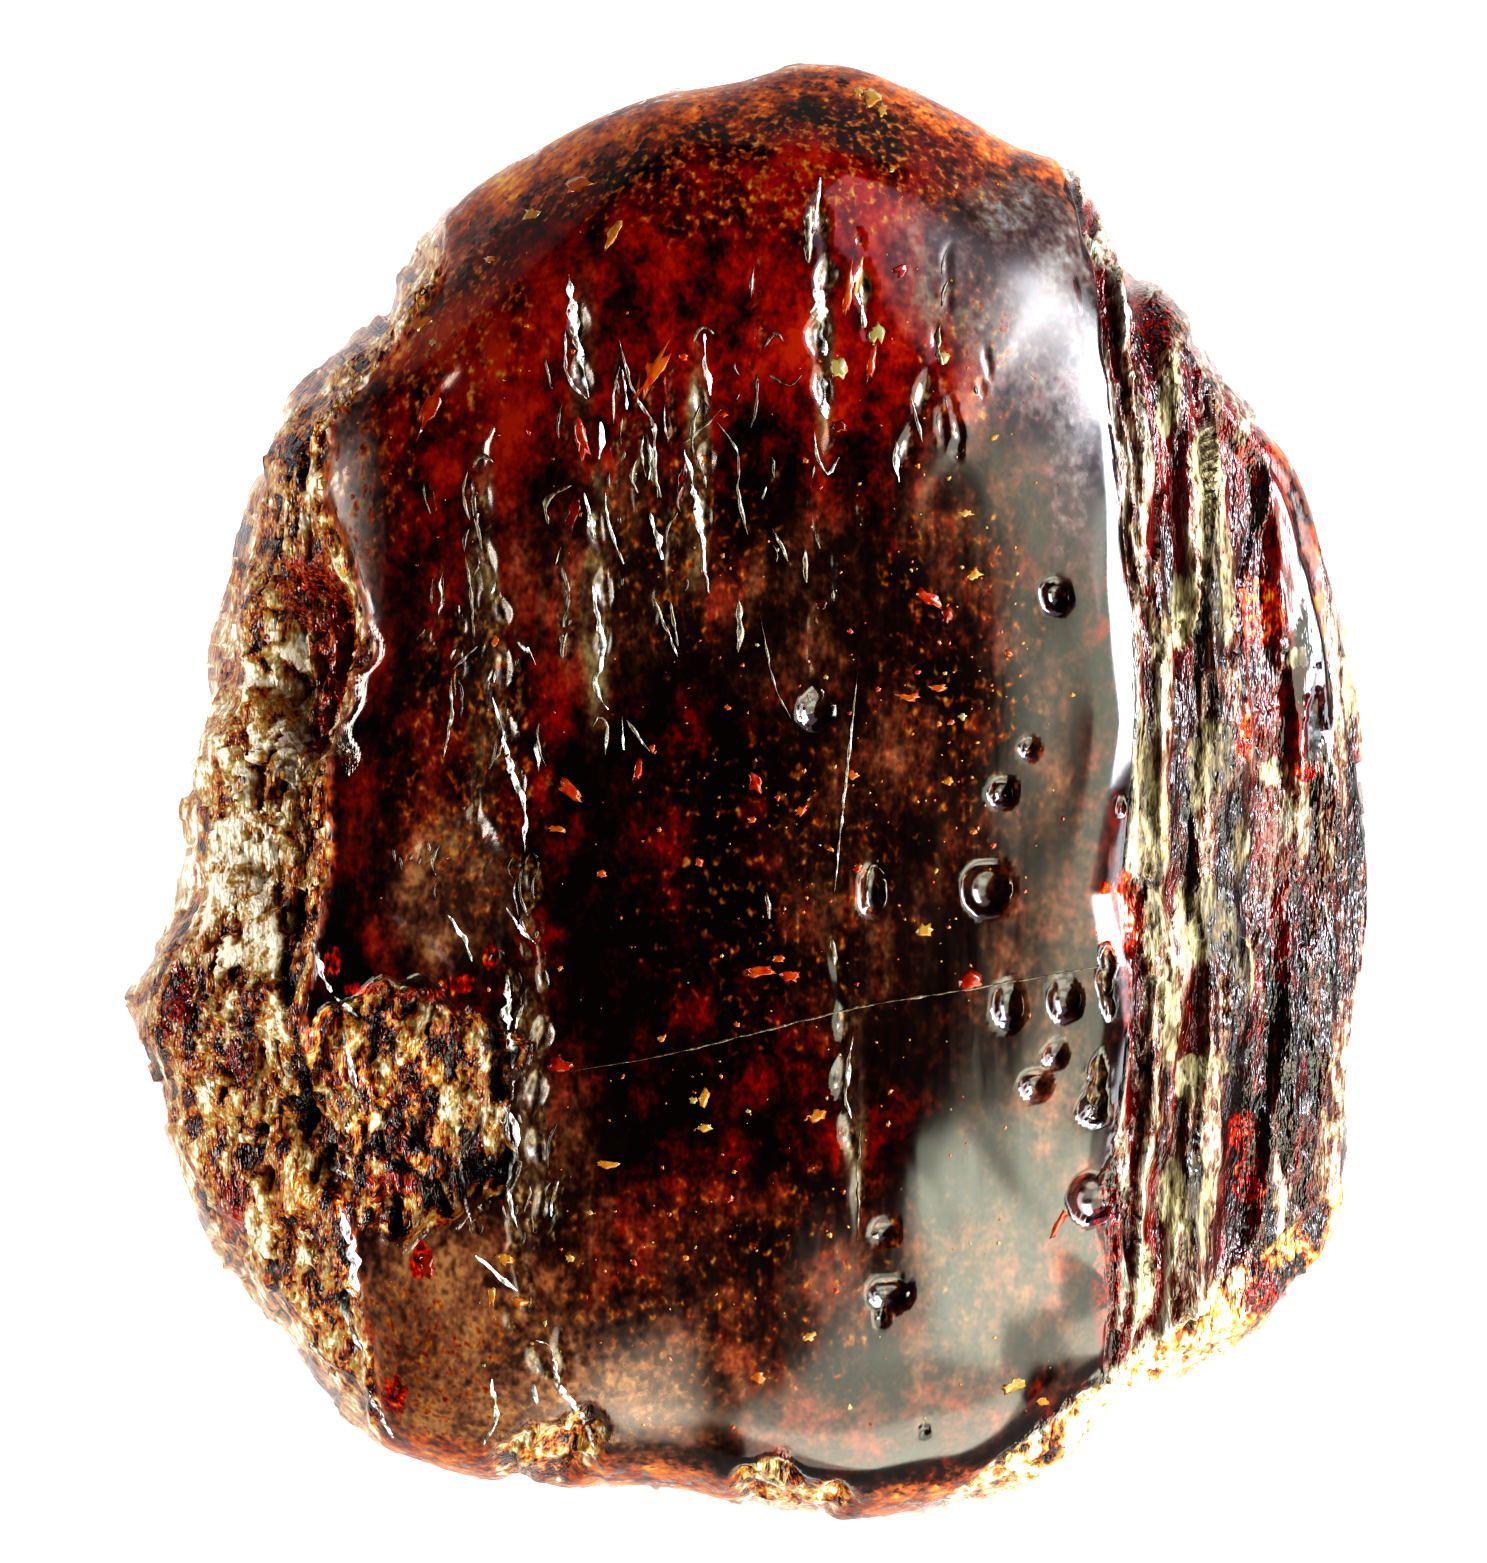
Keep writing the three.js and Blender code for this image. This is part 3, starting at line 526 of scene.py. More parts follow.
# painted shade: the crust's tone is made darker where it lies deep between the chips
deep = skin * smoothstep(-chunk - 0.5 * chip, 0.1, 0.5)
torn = 0.55 + 0.9 * cell_shade  # patches end at the sides of splinters and chips
zones = {
    # clear resin: its own red, brightened where it is thin as painted glow of light through it
    "clear": 0.3 + sum(amount * blob(*place, 0.7) for *place, amount in RED_GLOWS),
    "haze": spots(HAZES, 1, 0.6) * fade,
    "rim": np.where(front, np.maximum(smoothstep(share, rim_start, 1.0), margin), 0.5 * smoothstep(share, 0.75, 0.97)),
    "frost_sheen": spots(FROSTED_SHEENS, 1, 0.6) * fade,
    "milk_and_sheen": spots(MILKS_AND_SHEENS, 1, 0.7) * fade,
    "specks": spots(SPECKLES, 1, 0.6) * fade,
    "grained": on_flank * fade * smoothstep(past_ridge, 1.0, 1.6) * (1 - 0.9 * glassy),
    "crust": skin * np.where(front, 1, 0.75) * (1 - 0.25 * in_hollow) * (1 - 0.85 * ghost),
    # the chips' own tone, paler or darker by place, less the painted shade in the crevices
    "shade": cell_shade + pale - 0.45 * deep,
    # gaps: the resin's own dark red, deepened as painted shade in the rib valleys and between the splinters
    "gap": np.maximum.reduce([
        np.clip(-ribs / 1.1, 0, 1), on_flank * smoothstep(-splinter, 0.1, 0.4), spots(SHADOWS),
    ]),
    "bark": spots(BARK, 1.4) * torn,
    # lit spots: the resin's own red, brightened as painted glow of light coming through it
    "gem_glow": spots([gem_glow[:4] for gem_glow in GLOWING_GEMS], 1.2) * torn,
    "fire": np.maximum(spots(GLOWING_GEMS, 1.6, 0.3), 0.3),
    "hollow": np.where(top, smoothstep(np.maximum(dents, slits), 0.03, 0.3), 0),
}
for name, values in zones.items():
    amber_body.data.attributes.new(name, "FLOAT", "POINT").data.foreach_set("value", values.astype(np.float32))
print("zones", {name: round(float(values.mean()), 2) for name, values in zones.items()})

# %% [markdown]
# Every material below is built by one small function that adds a node, feeds its sockets and gives back its output.
# Colours are written as they look on a screen, and turned to the linear values that the renderer works with.

# %%
# Nodes and colours


def linear(code):
    """An sRGB hex colour as linear red, green, blue and alpha."""
    parts = [int(code[i:i + 2], 16) / 255 for i in (1, 3, 5)]
    return (*(p / 12.92 if p <= 0.04045 else ((p + 0.055) / 1.055) ** 2.4 for p in parts), 1)


def new_material(name):
    """A new material, and the function that adds nodes to it."""
    material = bpy.data.materials.new(name)
    material.use_nodes = True
    tree = material.node_tree
    tree.nodes.clear()

    def add(kind, feeds=(), out=0, stops=(), **settings):
        """Adds a node. Feeds are values or other nodes' outputs for its sockets, and stops are a ramp's colours."""
        made = tree.nodes.new("ShaderNode" + kind)
        for setting, value in settings.items():
            setattr(made, setting, value)
        for socket, feed in feeds.items() if isinstance(feeds, dict) else enumerate(feeds):
            if isinstance(feed, bpy.types.NodeSocket):
                tree.links.new(feed, made.inputs[socket])
            else:
                made.inputs[socket].default_value = feed
        for index, (place, code) in enumerate(stops):
            if index >= len(made.color_ramp.elements):
                made.color_ramp.elements.new(place)
            made.color_ramp.elements[index].position = place
            made.color_ramp.elements[index].color = linear(code)
        return made.outputs[out] if len(made.outputs) else made

    return material, add


print("white is", linear("#ffffff"))

# %% [markdown]
# Amber is a fossil resin. Light goes into it, and it swallows blue within a tenth of a millimetre, green within a few
# millimetres and red within a few centimetres. So a thin edge is golden, a thicker one orange and red, and the middle
# nearly black. A plain volume absorption does part of this, and the base colours paint the rest as glow: brighter red
# in the clear resin, the lit red and orange spots, and the orange rim. On the surface the same resin is polished, hazed
# by fine cracks, or weathered to a crust, and each finish lies over the last where its zone says so, with an edge
# broken by a pattern.

# %%
# Patterns of the resin
PATTERNS = {  # size along x, y and z in millimetres, detail, roughness
    "mottle": ((3.5, 5.5, 3.5), 2.0, 0.7),
    "streaks": ((0.7, 7, 1.5), 2.0, 0.7),
    "fray": ((0.5, 1.6, 0.5), 2.0, 0.75),
    "crumbs": ((1.0, 1.7, 1.0), 2.0, 0.8),
    "flakes": ((0.6, 0.8, 0.6), 1.0, 0.6),
    "grain": ((0.4, 0.6, 0.4), 1.0, 0.75),
}
MIXES = {  # parts of each mixed pattern: a pattern or a zone, how much of it, and its middle
    "depth": (("mottle", 1, 0), ("flakes", 0.25, 0.5), ("grain", 0.3, 0.5), ("clear", 0.45, 0.49)),
    "cloud": (("mottle", 1, 0), ("flakes", 0.45, 0.5), ("grain", 0.35, 0.5)),
    "splinters": (("fray", 1, 0), ("streaks", 0.9, 0.5), ("shade", 0.55, 0.5)),
    "chunks": (("crumbs", 1, 0), ("streaks", 0.6, 0.5), ("shade", 0.7, 0.5), ("grain", 0.6, 0.5)),
    "embers": (("grain", 1, 0), ("fray", 0.6, 0.5), ("fire", 0.4, 0.6)),
}
resin, add = new_material("rumanite_resin")
place = add("TexCoord", out="Object")
pattern = {name: add("Attribute", attribute_name=name, out="Fac") for name in zones}
for name, (size, detail, roughness) in PATTERNS.items():
    spread = add("Mapping", {"Vector": place, "Scale": [1 / (side * MM) for side in size]})
    pattern[name] = add("TexNoise", {"Vector": spread, "Scale": 1.0, "Detail": detail, "Roughness": roughness})
for name, parts in MIXES.items():
    total = 0.0
    for source, amount, middle in parts:
        total = add("Math", (pattern[source], amount, add("Math", (total, -amount * middle))), operation="MULTIPLY_ADD")
    pattern[name] = total
print("patterns and zones", len(pattern))

# %%
# Finishes of the resin, each over the last
FINISHES = (
    # zone, pattern that breaks its edge, how much, softness, pattern of its colours, light let through, roughness
    ("haze", "streaks", 1.0, 0.4, "cloud", 0.4, 0.26,
     ((0.3, "#1a0a05"), (0.44, "#38180e"), (0.55, "#4c3420"), (0.66, "#605038"), (0.8, "#807050"))),
    # frosted polish: the roughness is real, and its grey-lilac colour is a painted sheen
    ("frost_sheen", "flakes", 0.8, 0.4, "cloud", 0.3, 0.4,
     ((0.35, "#240c0a"), (0.5, "#44302c"), (0.64, "#58504c"), (0.8, "#787274"))),
    # milky resin: pinkish brown, partly a painted sheen
    ("milk_and_sheen", "flakes", 0.8, 0.4, "cloud", 0.15, 0.3, ((0.3, "#402214"), (0.5, "#684632"), (0.66, "#826042"))),
    ("hollow", "fray", 1.4, 0.3, "grain", 0.3, 0.3,
     ((0.35, "#240e06"), (0.48, "#482c16"), (0.58, "#684a2e"), (0.7, "#847456"))),
    ("specks", "flakes", 2.2, 0.12, "grain", 0.3, 0.15,
     ((0.3, "#480e02"), (0.45, "#702c0a"), (0.58, "#84521a"), (0.72, "#94743e"))),
    # the rim: weathered skin, with painted glow of light through the thin edge in its orange
    ("rim", "crumbs", 1.9, 0.3, "cloud", 0.2, 0.5,
     ((0.3, "#380e02"), (0.43, "#702804"), (0.54, "#96480c"), (0.65, "#a86218"), (0.8, "#bc9038"))),
    ("grained", "fray", 0.3, 0.2, "splinters", 0.06, 0.16,
     ((0.26, "#120200"), (0.38, "#3c1008"), (0.48, "#583626"), (0.57, "#6a5a46"), (0.7, "#8a857c"))),
    ("crust", "crumbs", 1.2, 0.2, "chunks", 0.08, 0.2,
     ((0.22, "#180402"), (0.32, "#521606"), (0.41, "#8a3c0c"), (0.49, "#a06c20"), (0.57, "#8e7844"),
      (0.68, "#ae9a78"), (0.82, "#dcd4c8"))),
    # gaps: dark red resin with painted shade
    ("gap", "fray", 1.0, 0.25, "splinters", 0.35, 0.2, ((0.3, "#0c0000"), (0.5, "#300202"), (0.7, "#640c04"))),
    ("bark", "fray", 2.0, 0.2, "splinters", 0.0, 0.6,
     ((0.25, "#2c1e0e"), (0.4, "#4c402c"), (0.52, "#6c6048"), (0.64, "#80765c"), (0.8, "#948c74"))),
    # lit spots: deep red to gold, partly painted glow of light through the resin
    ("gem_glow", "fray", 2.0, 0.15, "embers", 0.4, 0.07,
     ((0.3, "#2c0000"), (0.44, "#640200"), (0.56, "#900e02"), (0.68, "#b03c0a"), (0.82, "#b88434"))),
)
# base colour of the clear resin: its own dark red, with painted glow in its brighter reds
colour = add("ValToRGB", (pattern["depth"],), stops=(
    (0.36, "#180403"), (0.46, "#3a0905"), (0.56, "#6a0c04"), (0.67, "#981004"), (0.8, "#b43810"),
))
through, roughness = 0.66, 0.09
for name, breaker, ragged, soft, tint, lets_through, finish, shades in FINISHES:
    uneven = add("Math", (pattern[breaker], 2 * ragged, 1 - ragged), operation="MULTIPLY_ADD")
    broken = add("Math", (pattern[name], uneven), operation="MULTIPLY")
    mask = add("MapRange", (broken, 0.5 - soft, 0.5 + soft))
    shaded = add("ValToRGB", (pattern[tint],), stops=shades)
    colour = add("Mix", {0: mask, 6: colour, 7: shaded}, data_type="RGBA", out=2)
    through = add("Mix", {0: mask, 2: through, 3: lets_through})
    roughness = add("Mix", {0: mask, 2: roughness, 3: finish})
print("finishes", len(FINISHES))

# %%
# Fine relief and the shader
BUMPS = (("crust", 1.5), ("grained", 0.9))  # zone, and how deep the fibres are there
height = 0.0
for name, amount in BUMPS:
    deep = add("Math", (pattern["fray"], amount), operation="MULTIPLY")
    height = add("Math", (deep, pattern[name], height), operation="MULTIPLY_ADD")
bump = add("Bump", {"Strength": 0.8, "Distance": 0.4 * MM, "Height": height})
surface = add("BsdfPrincipled", {
    "Base Color": colour, "Transmission Weight": through, "Roughness": roughness, "Normal": bump, "IOR": 1.54,
})
swallowed = add("VolumeAbsorption", {"Color": (0.96, 0.66, 0.0, 1), "Density": 1100})
add("OutputMaterial", {"Surface": surface, "Volume": swallowed})
amber_body.data.materials.append(resin)

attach(amber_body, "root")
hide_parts("amber_nugget")
print("resin nodes", len(resin.node_tree.nodes))

# %% [markdown]
# Thin films of air lie in the slits and dents. Their white is a painted reflection: it stands for the light that
# glints off the films, and where resin clouds them they are tan. They are drawn as slivers: a cube cut along its
# length, laid along a listed path on the surface and drawn to a point at both ends. A separate piece keeps them
# crisp, where the body's own grid would be too coarse.

# %%
# Films, whose white is a painted glint
PAINTED_GLINT_FILMS = (  # path from end to end, width, shade: 0 is tan and 1 is white, a painted glint
    (((-11.5, 33.6), (-11.2, 30.7), (-10.6, 27.9), (-10.2, 25.6)), 0.79, 1.00),
    (((-11.7, 30.0), (-11.7, 27.9), (-11.3, 26.5), (-10.3, 25.5)), 0.33, 0.70),
    (((-9.4, 24.0), (-9.3, 23.0), (-9.5, 21.6)), 0.53, 1.00),
    (((-10.5, 19.4), (-10.2, 18.1), (-9.8, 16.4)), 0.73, 0.90),
    (((-9.1, 19.4), (-8.9, 17.4), (-7.9, 14.8)), 0.26, 0.80),
    (((-9.9, 13.4), (-9.5, 11.1), (-9.2, 9.1), (-9.7, 6.8), (-8.9, 5.4)), 0.53, 0.85),
    (((-8.2, 29.3), (-7.8, 27.7), (-7.0, 25.4), (-6.0, 23.9), (-5.9, 21.4), (-5.7, 19.1)), 0.33, 0.60),
    (((-6.4, 23.4), (-6.0, 20.7), (-5.5, 19.1)), 0.60, 0.40),
    (((-6.2, 18.1), (-5.7, 16.4), (-5.4, 15.1)), 0.60, 0.80),
    (((-2.7, 29.7), (-2.6, 27.7), (-2.3, 25.7)), 0.60, 1.00),
    (((-3.4, 29.2), (-2.8, 30.2), (-2.1, 29.7)), 0.33, 0.35),
    (((-1.6, 24.8), (-3.0, 23.5), (-4.1, 22.6)), 0.40, 0.40),
    (((-4.0, 22.2), (-3.6, 20.7), (-3.2, 18.7), (-2.9, 16.4), (-2.4, 12.9)), 0.60, 0.95),
    (((-1.9, 24.0), (-0.5, 21.9), (-0.5, 19.4), (0.1, 16.7)), 0.33, 0.55),
    (((4.1, 38.3), (4.0, 36.3), (4.0, 34.3)), 0.79, 0.40),
    (((4.6, 34.0), (4.7, 32.0), (4.9, 29.7), (5.1, 28.3)), 1.06, 1.00),
    (((5.0, 26.8), (5.1, 25.4), (5.2, 24.2)), 0.73, 1.00),
    (((4.4, 23.4), (4.6, 21.7), (5.3, 20.6), (6.0, 21.7)), 0.33, 0.70),
    (((4.8, 39.9), (4.6, 38.3), (4.5, 36.6)), 0.46, 0.80),
    (((7.4, 32.8), (7.5, 31.3), (7.7, 30.1)), 0.53, 0.90),
    (((12.5, 30.3), (12.4, 29.0), (12.7, 27.7)), 0.60, 0.50),
    (((9.7, 22.7), (9.7, 21.4), (9.9, 20.1)), 0.40, 0.90),
    (((10.6, 25.7), (11.0, 24.4), (11.4, 22.7)), 0.26, 0.60),
    (((-0.5, 12.6), (-0.4, 10.8), (-0.5, 9.1)), 0.53, 0.50),
    (((-11.9, 14.8), (-11.5, 12.8), (-11.8, 10.7)), 0.53, 0.40),
    (((-12.8, 17.4), (-12.9, 18.9), (-11.3, 19.9)), 0.40, 0.35),
    (((-4.9, 12.4), (-4.4, 9.5)), 0.26, 0.50),
    (((1.7, 17.1), (2.3, 16.0), (2.7, 15.0)), 0.33, 0.70),
    (((3.8, 15.8), (3.9, 13.6)), 0.46, 0.50),
    (((1.2, 28.8), (1.9, 29.7), (2.4, 29.2)), 0.33, 0.30),
    (((1.5, 27.0), (2.9, 26.3), (3.6, 27.0)), 0.33, 0.25),
    (((-17.7, 21.1), (-17.2, 21.9), (-16.4, 21.4)), 0.33, 0.35),
    (((-17.7, 20.1), (-17.6, 18.1), (-17.0, 15.4)), 0.53, 0.35),
    (((-18.2, 15.4), (-17.8, 12.8), (-17.6, 10.1)), 0.33, 0.30),
    (((-17.4, 9.5), (-18.3, 8.7), (-18.9, 8.0)), 0.33, 0.70),
    (((-19.1, 7.5), (-19.1, 4.8), (-19.6, 2.3)), 0.33, 0.60),
    (((-16.4, 6.2), (-15.8, 4.2), (-15.4, 2.3), (-14.4, -0.5), (-14.3, -3.8)), 0.53, 0.90),
    (((-13.6, 3.2), (-13.4, 1.4)), 0.40, 0.80),
    (((-14.8, 9.8), (-14.0, 9.1), (-13.6, 8.3)), 0.33, 0.80),
    (((-9.9, 4.3), (-9.5, 5.0), (-9.0, 4.3), (-9.1, 2.5)), 0.26, 0.60),
    (((-8.0, 5.0), (-7.9, 2.8)), 0.26, 0.80),
    (((-7.7, 4.7), (-6.2, 2.7)), 0.26, 0.70),
    (((-6.0, 12.6), (-5.2, 10.8), (-4.4, 8.8)), 0.33, 0.60),
    (((-15.4, -12.0), (-15.4, -14.4), (-15.1, -17.8)), 0.99, 1.00),
    (((-15.5, -7.4), (-14.6, -8.7), (-13.6, -9.7)), 0.40, 0.90),
    (((-28.2, -9.4), (-27.7, -11.4), (-26.9, -12.9)), 0.66, 1.00),
    (((-26.7, -13.2), (-25.2, -14.5)), 0.40, 0.90),
    (((-26.2, -15.4), (-25.7, -17.7), (-24.9, -20.3)), 0.53, 0.90),
    (((-19.3, -7.9), (-18.4, -9.1), (-17.7, -10.9)), 0.40, 0.90),
    (((-27.1, -24.2), (-26.0, -24.8)), 0.53, 0.90),
    (((-26.4, -26.7), (-25.4, -31.0), (-26.1, -33.9), (-25.0, -36.3)), 0.93, 1.00),
    (((-24.7, -39.0), (-23.0, -42.1)), 0.60, 1.00),
    (((-28.6, -35.8), (-26.9, -38.3)), 0.79, 0.90),
    (((-16.3, -19.3), (-14.8, -21.9), (-15.4, -25.5), (-14.8, -28.1)), 0.53, 0.90),
    (((-18.7, -23.1), (-18.2, -26.2), (-17.7, -28.1)), 0.33, 0.80),
    (((-17.5, -29.9), (-16.3, -31.0), (-14.8, -32.2)), 0.46, 1.00),
    (((-17.3, -20.5), (-17.7, -22.1), (-18.9, -23.6)), 0.26, 0.70),
    (((-16.5, -38.0), (-16.3, -41.1), (-17.1, -42.4)), 0.46, 0.90),
    (((-13.6, -35.4), (-12.7, -35.8), (-12.2, -38.3), (-10.8, -40.2), (-9.8, -43.0)), 0.46, 0.95),
    (((-13.8, -38.3), (-13.6, -39.7)), 0.40, 0.80),
    (((5.5, -9.4), (5.7, -11.1)), 0.53, 0.40),
    (((6.9, -15.7), (6.6, -17.7), (6.4, -19.7), (6.8, -21.0)), 0.40, 0.70),
    (((7.4, -21.6), (7.2, -24.3), (7.3, -26.9), (7.2, -28.9)), 0.33, 0.40),
    (((7.7, -6.1), (8.2, -4.6), (8.9, -5.2)), 0.33, 0.50),
    (((1.3, -6.4), (1.5, -8.1)), 0.40, 0.50),
    (((0.9, 11.5), (1.9, 6.8), (2.9, 4.8)), 0.18, 0.45),
    (((7.2, 7.8), (6.6, 2.2), (6.1, -2.4), (5.7, -6.4)), 0.22, 0.60),
    (((-11.7, -18.0), (-5.7, -17.0), (0.9, -15.4), (6.9, -13.9), (14.2, -12.7), (20.1, -11.7), (26.1, -10.7)), 0.2, 0.3),
)
FILM_STEP, FILM_THICK = 0.3, 0.04
FILM_SLIM, FILM_RAGGED = 0.75, 2.0  # the film fills this share of the width read, less where it is torn
film_mesh = bmesh.new()
film_glint_tone = film_mesh.verts.layers.float.new("shade")


def height_at(x, y):
    """How high the surface is under a place, in millimetres."""
    hit = body_tree.ray_cast(Vector((x, y, 100)) * MM, Vector((0, 0, -1)))[0]
    return hit.z / MM if hit else RIM_HEIGHT


def along_path(path, step):
    """Points spaced evenly along a smooth line through the path's points."""
    path = np.array(path)
    if len(path) > 2:
        reached = np.vstack([2 * path[0] - path[1], path, 2 * path[-1] - path[-2]])
        pieces = [smooth_closed(reached[i:i + 4], 6)[1::4] for i in range(len(path) - 1)]
        path = np.vstack([*pieces, path[-1:]])
    length = np.append(0, np.cumsum(np.hypot(*np.diff(path, axis=0).T)))
    where = np.linspace(0, length[-1], max(5, int(length[-1] / step)))
    return np.stack([np.interp(where, length, path[:, axis]) for axis in (0, 1)], 1)


def add_film(path, width, shade):
    """Adds one sliver with ragged sides and a raised middle to the films."""
    line = along_path(path, FILM_STEP)
    heading = np.gradient(line, axis=0)
    heading /= np.linalg.norm(heading, axis=1)[:, None] + 1e-9
    first = len(film_mesh.verts)
    corners = bmesh.ops.create_cube(film_mesh, size=2)["verts"]
    for axis, cuts in ((0, len(line) - 2), (1, 1)):
        film_mesh.verts.ensure_lookup_table()
        made = film_mesh.verts[first:]
        ends_here = dict.fromkeys(e for v in made for e in v.link_edges)
        long_edges = [e for e in ends_here if abs(e.verts[0].co[axis] - e.verts[1].co[axis]) > 1.9]
        bmesh.ops.subdivide_edges(film_mesh, edges=long_edges, cuts=cuts, use_grid_fill=True)
    film_mesh.verts.ensure_lookup_table()
    for vertex in film_mesh.verts[first:]:
        along, side, lift = vertex.co
        step = round((along + 1) / 2 * (len(line) - 1))
        taper = math.sin(math.pi * (step + 0.35) / (len(line) - 0.3)) ** 0.6
        torn = min(max(0.9 + FILM_RAGGED * noise.noise(Vector((*line[step] * 1.3, side))), 0.12), 1.6)
        aside = side * FILM_SLIM * width / 2 * taper * torn
        place = line[step] + aside * np.array((-heading[step, 1], heading[step, 0]))
        rise = FILM_THICK * (lift * (1.5 - abs(side)) + 0.2)
        vertex.co = Vector((*place, height_at(*place) + rise)) * MM
        vertex[film_glint_tone] = shade


for path, width, shade in PAINTED_GLINT_FILMS:
    add_film(path, width, shade)
print("films read by hand", len(PAINTED_GLINT_FILMS))

# %% [markdown]
# Each almond-shaped dent also has a film along part of its wall, most often on the left wall, which faces the light
# from the right: there the film is a painted glint. These follow the same list of dents that was cut into the face.

# %%
# Painted glint films of the dents
for dx, dy, wide, long, lean in dent_list:
    # the left wall, side -1, faces the lamps at the right, so it gets the painted glint more often; bright is how white
    # it is
    for side, likely in ((-1, 0.62), (1, 0.35)):
        start, end = sorted(rng.uniform(-1, 1, 2))
        bright, thick = rng.beta(1.2, 2.0), rng.uniform(0.14, 0.34)
        if rng.random() < likely and end - start > 0.5:
            along = np.linspace(start, end, 5)
            bow = side * wide * (1 - along**2) + lean * long * along
            add_film(np.stack([dx + bow, dy + long * along], 1), thick, bright)
for face in film_mesh.faces:
    face.smooth = True
bmesh.ops.recalc_face_normals(film_mesh, faces=film_mesh.faces)
painted_glint_films = bpy.data.objects.new("painted_glint_films", bpy.data.meshes.new("painted_glint_films"))
bpy.context.collection.objects.link(painted_glint_films)
film_mesh.to_mesh(painted_glint_films.data)
print("film faces", len(film_mesh.faces))
film_mesh.free()

# %%
# Film finish: air against resin. Its white is a painted reflection where the film is clean, and it is tan where resin
# clouds it
air_film_painted_glint, add = new_material("air_film_painted_glint")
place = add("TexCoord", out="Object")
spread = add("Mapping", {"Vector": place, "Scale": [1 / (side * MM) for side in (0.35, 0.8, 0.35)]})
worn = add("TexNoise", {"Vector": spread, "Scale": 1.0, "Detail": 4.0, "Roughness": 0.7})
shade = add("Attribute", attribute_name="shade", out="Fac")
faint = add("Math", (shade, 0.6, -0.7), operation="MULTIPLY_ADD")
shade = add("Math", (worn, 1.8, faint), operation="MULTIPLY_ADD")
# the white end of this ramp is the painted glint
colour = add("ValToRGB", (shade,), stops=(
    (0.1, "#1c0802"), (0.3, "#3a2616"), (0.5, "#504634"), (0.68, "#6e6a64"), (0.9, "#d0d8e0"),
))
roughness = add("MapRange", (worn, 0.35, 0.7, 0.2, 0.5))
surface = add("BsdfPrincipled", {"Base Color": colour, "Roughness": roughness, "IOR": 1.54})
add("OutputMaterial", {"Surface": surface})
painted_glint_films.data.materials.append(air_film_painted_glint)
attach(painted_glint_films, "root")
print("film nodes", len(air_film_painted_glint.node_tree.nodes))

# %% [markdown]
# Stress discs and flakes of plant matter float just under the polish and glow orange and gold. Each is a flattened
# ball with a wandering outline that hugs the surface. The large ones are listed one by one, and the small ones strewn.

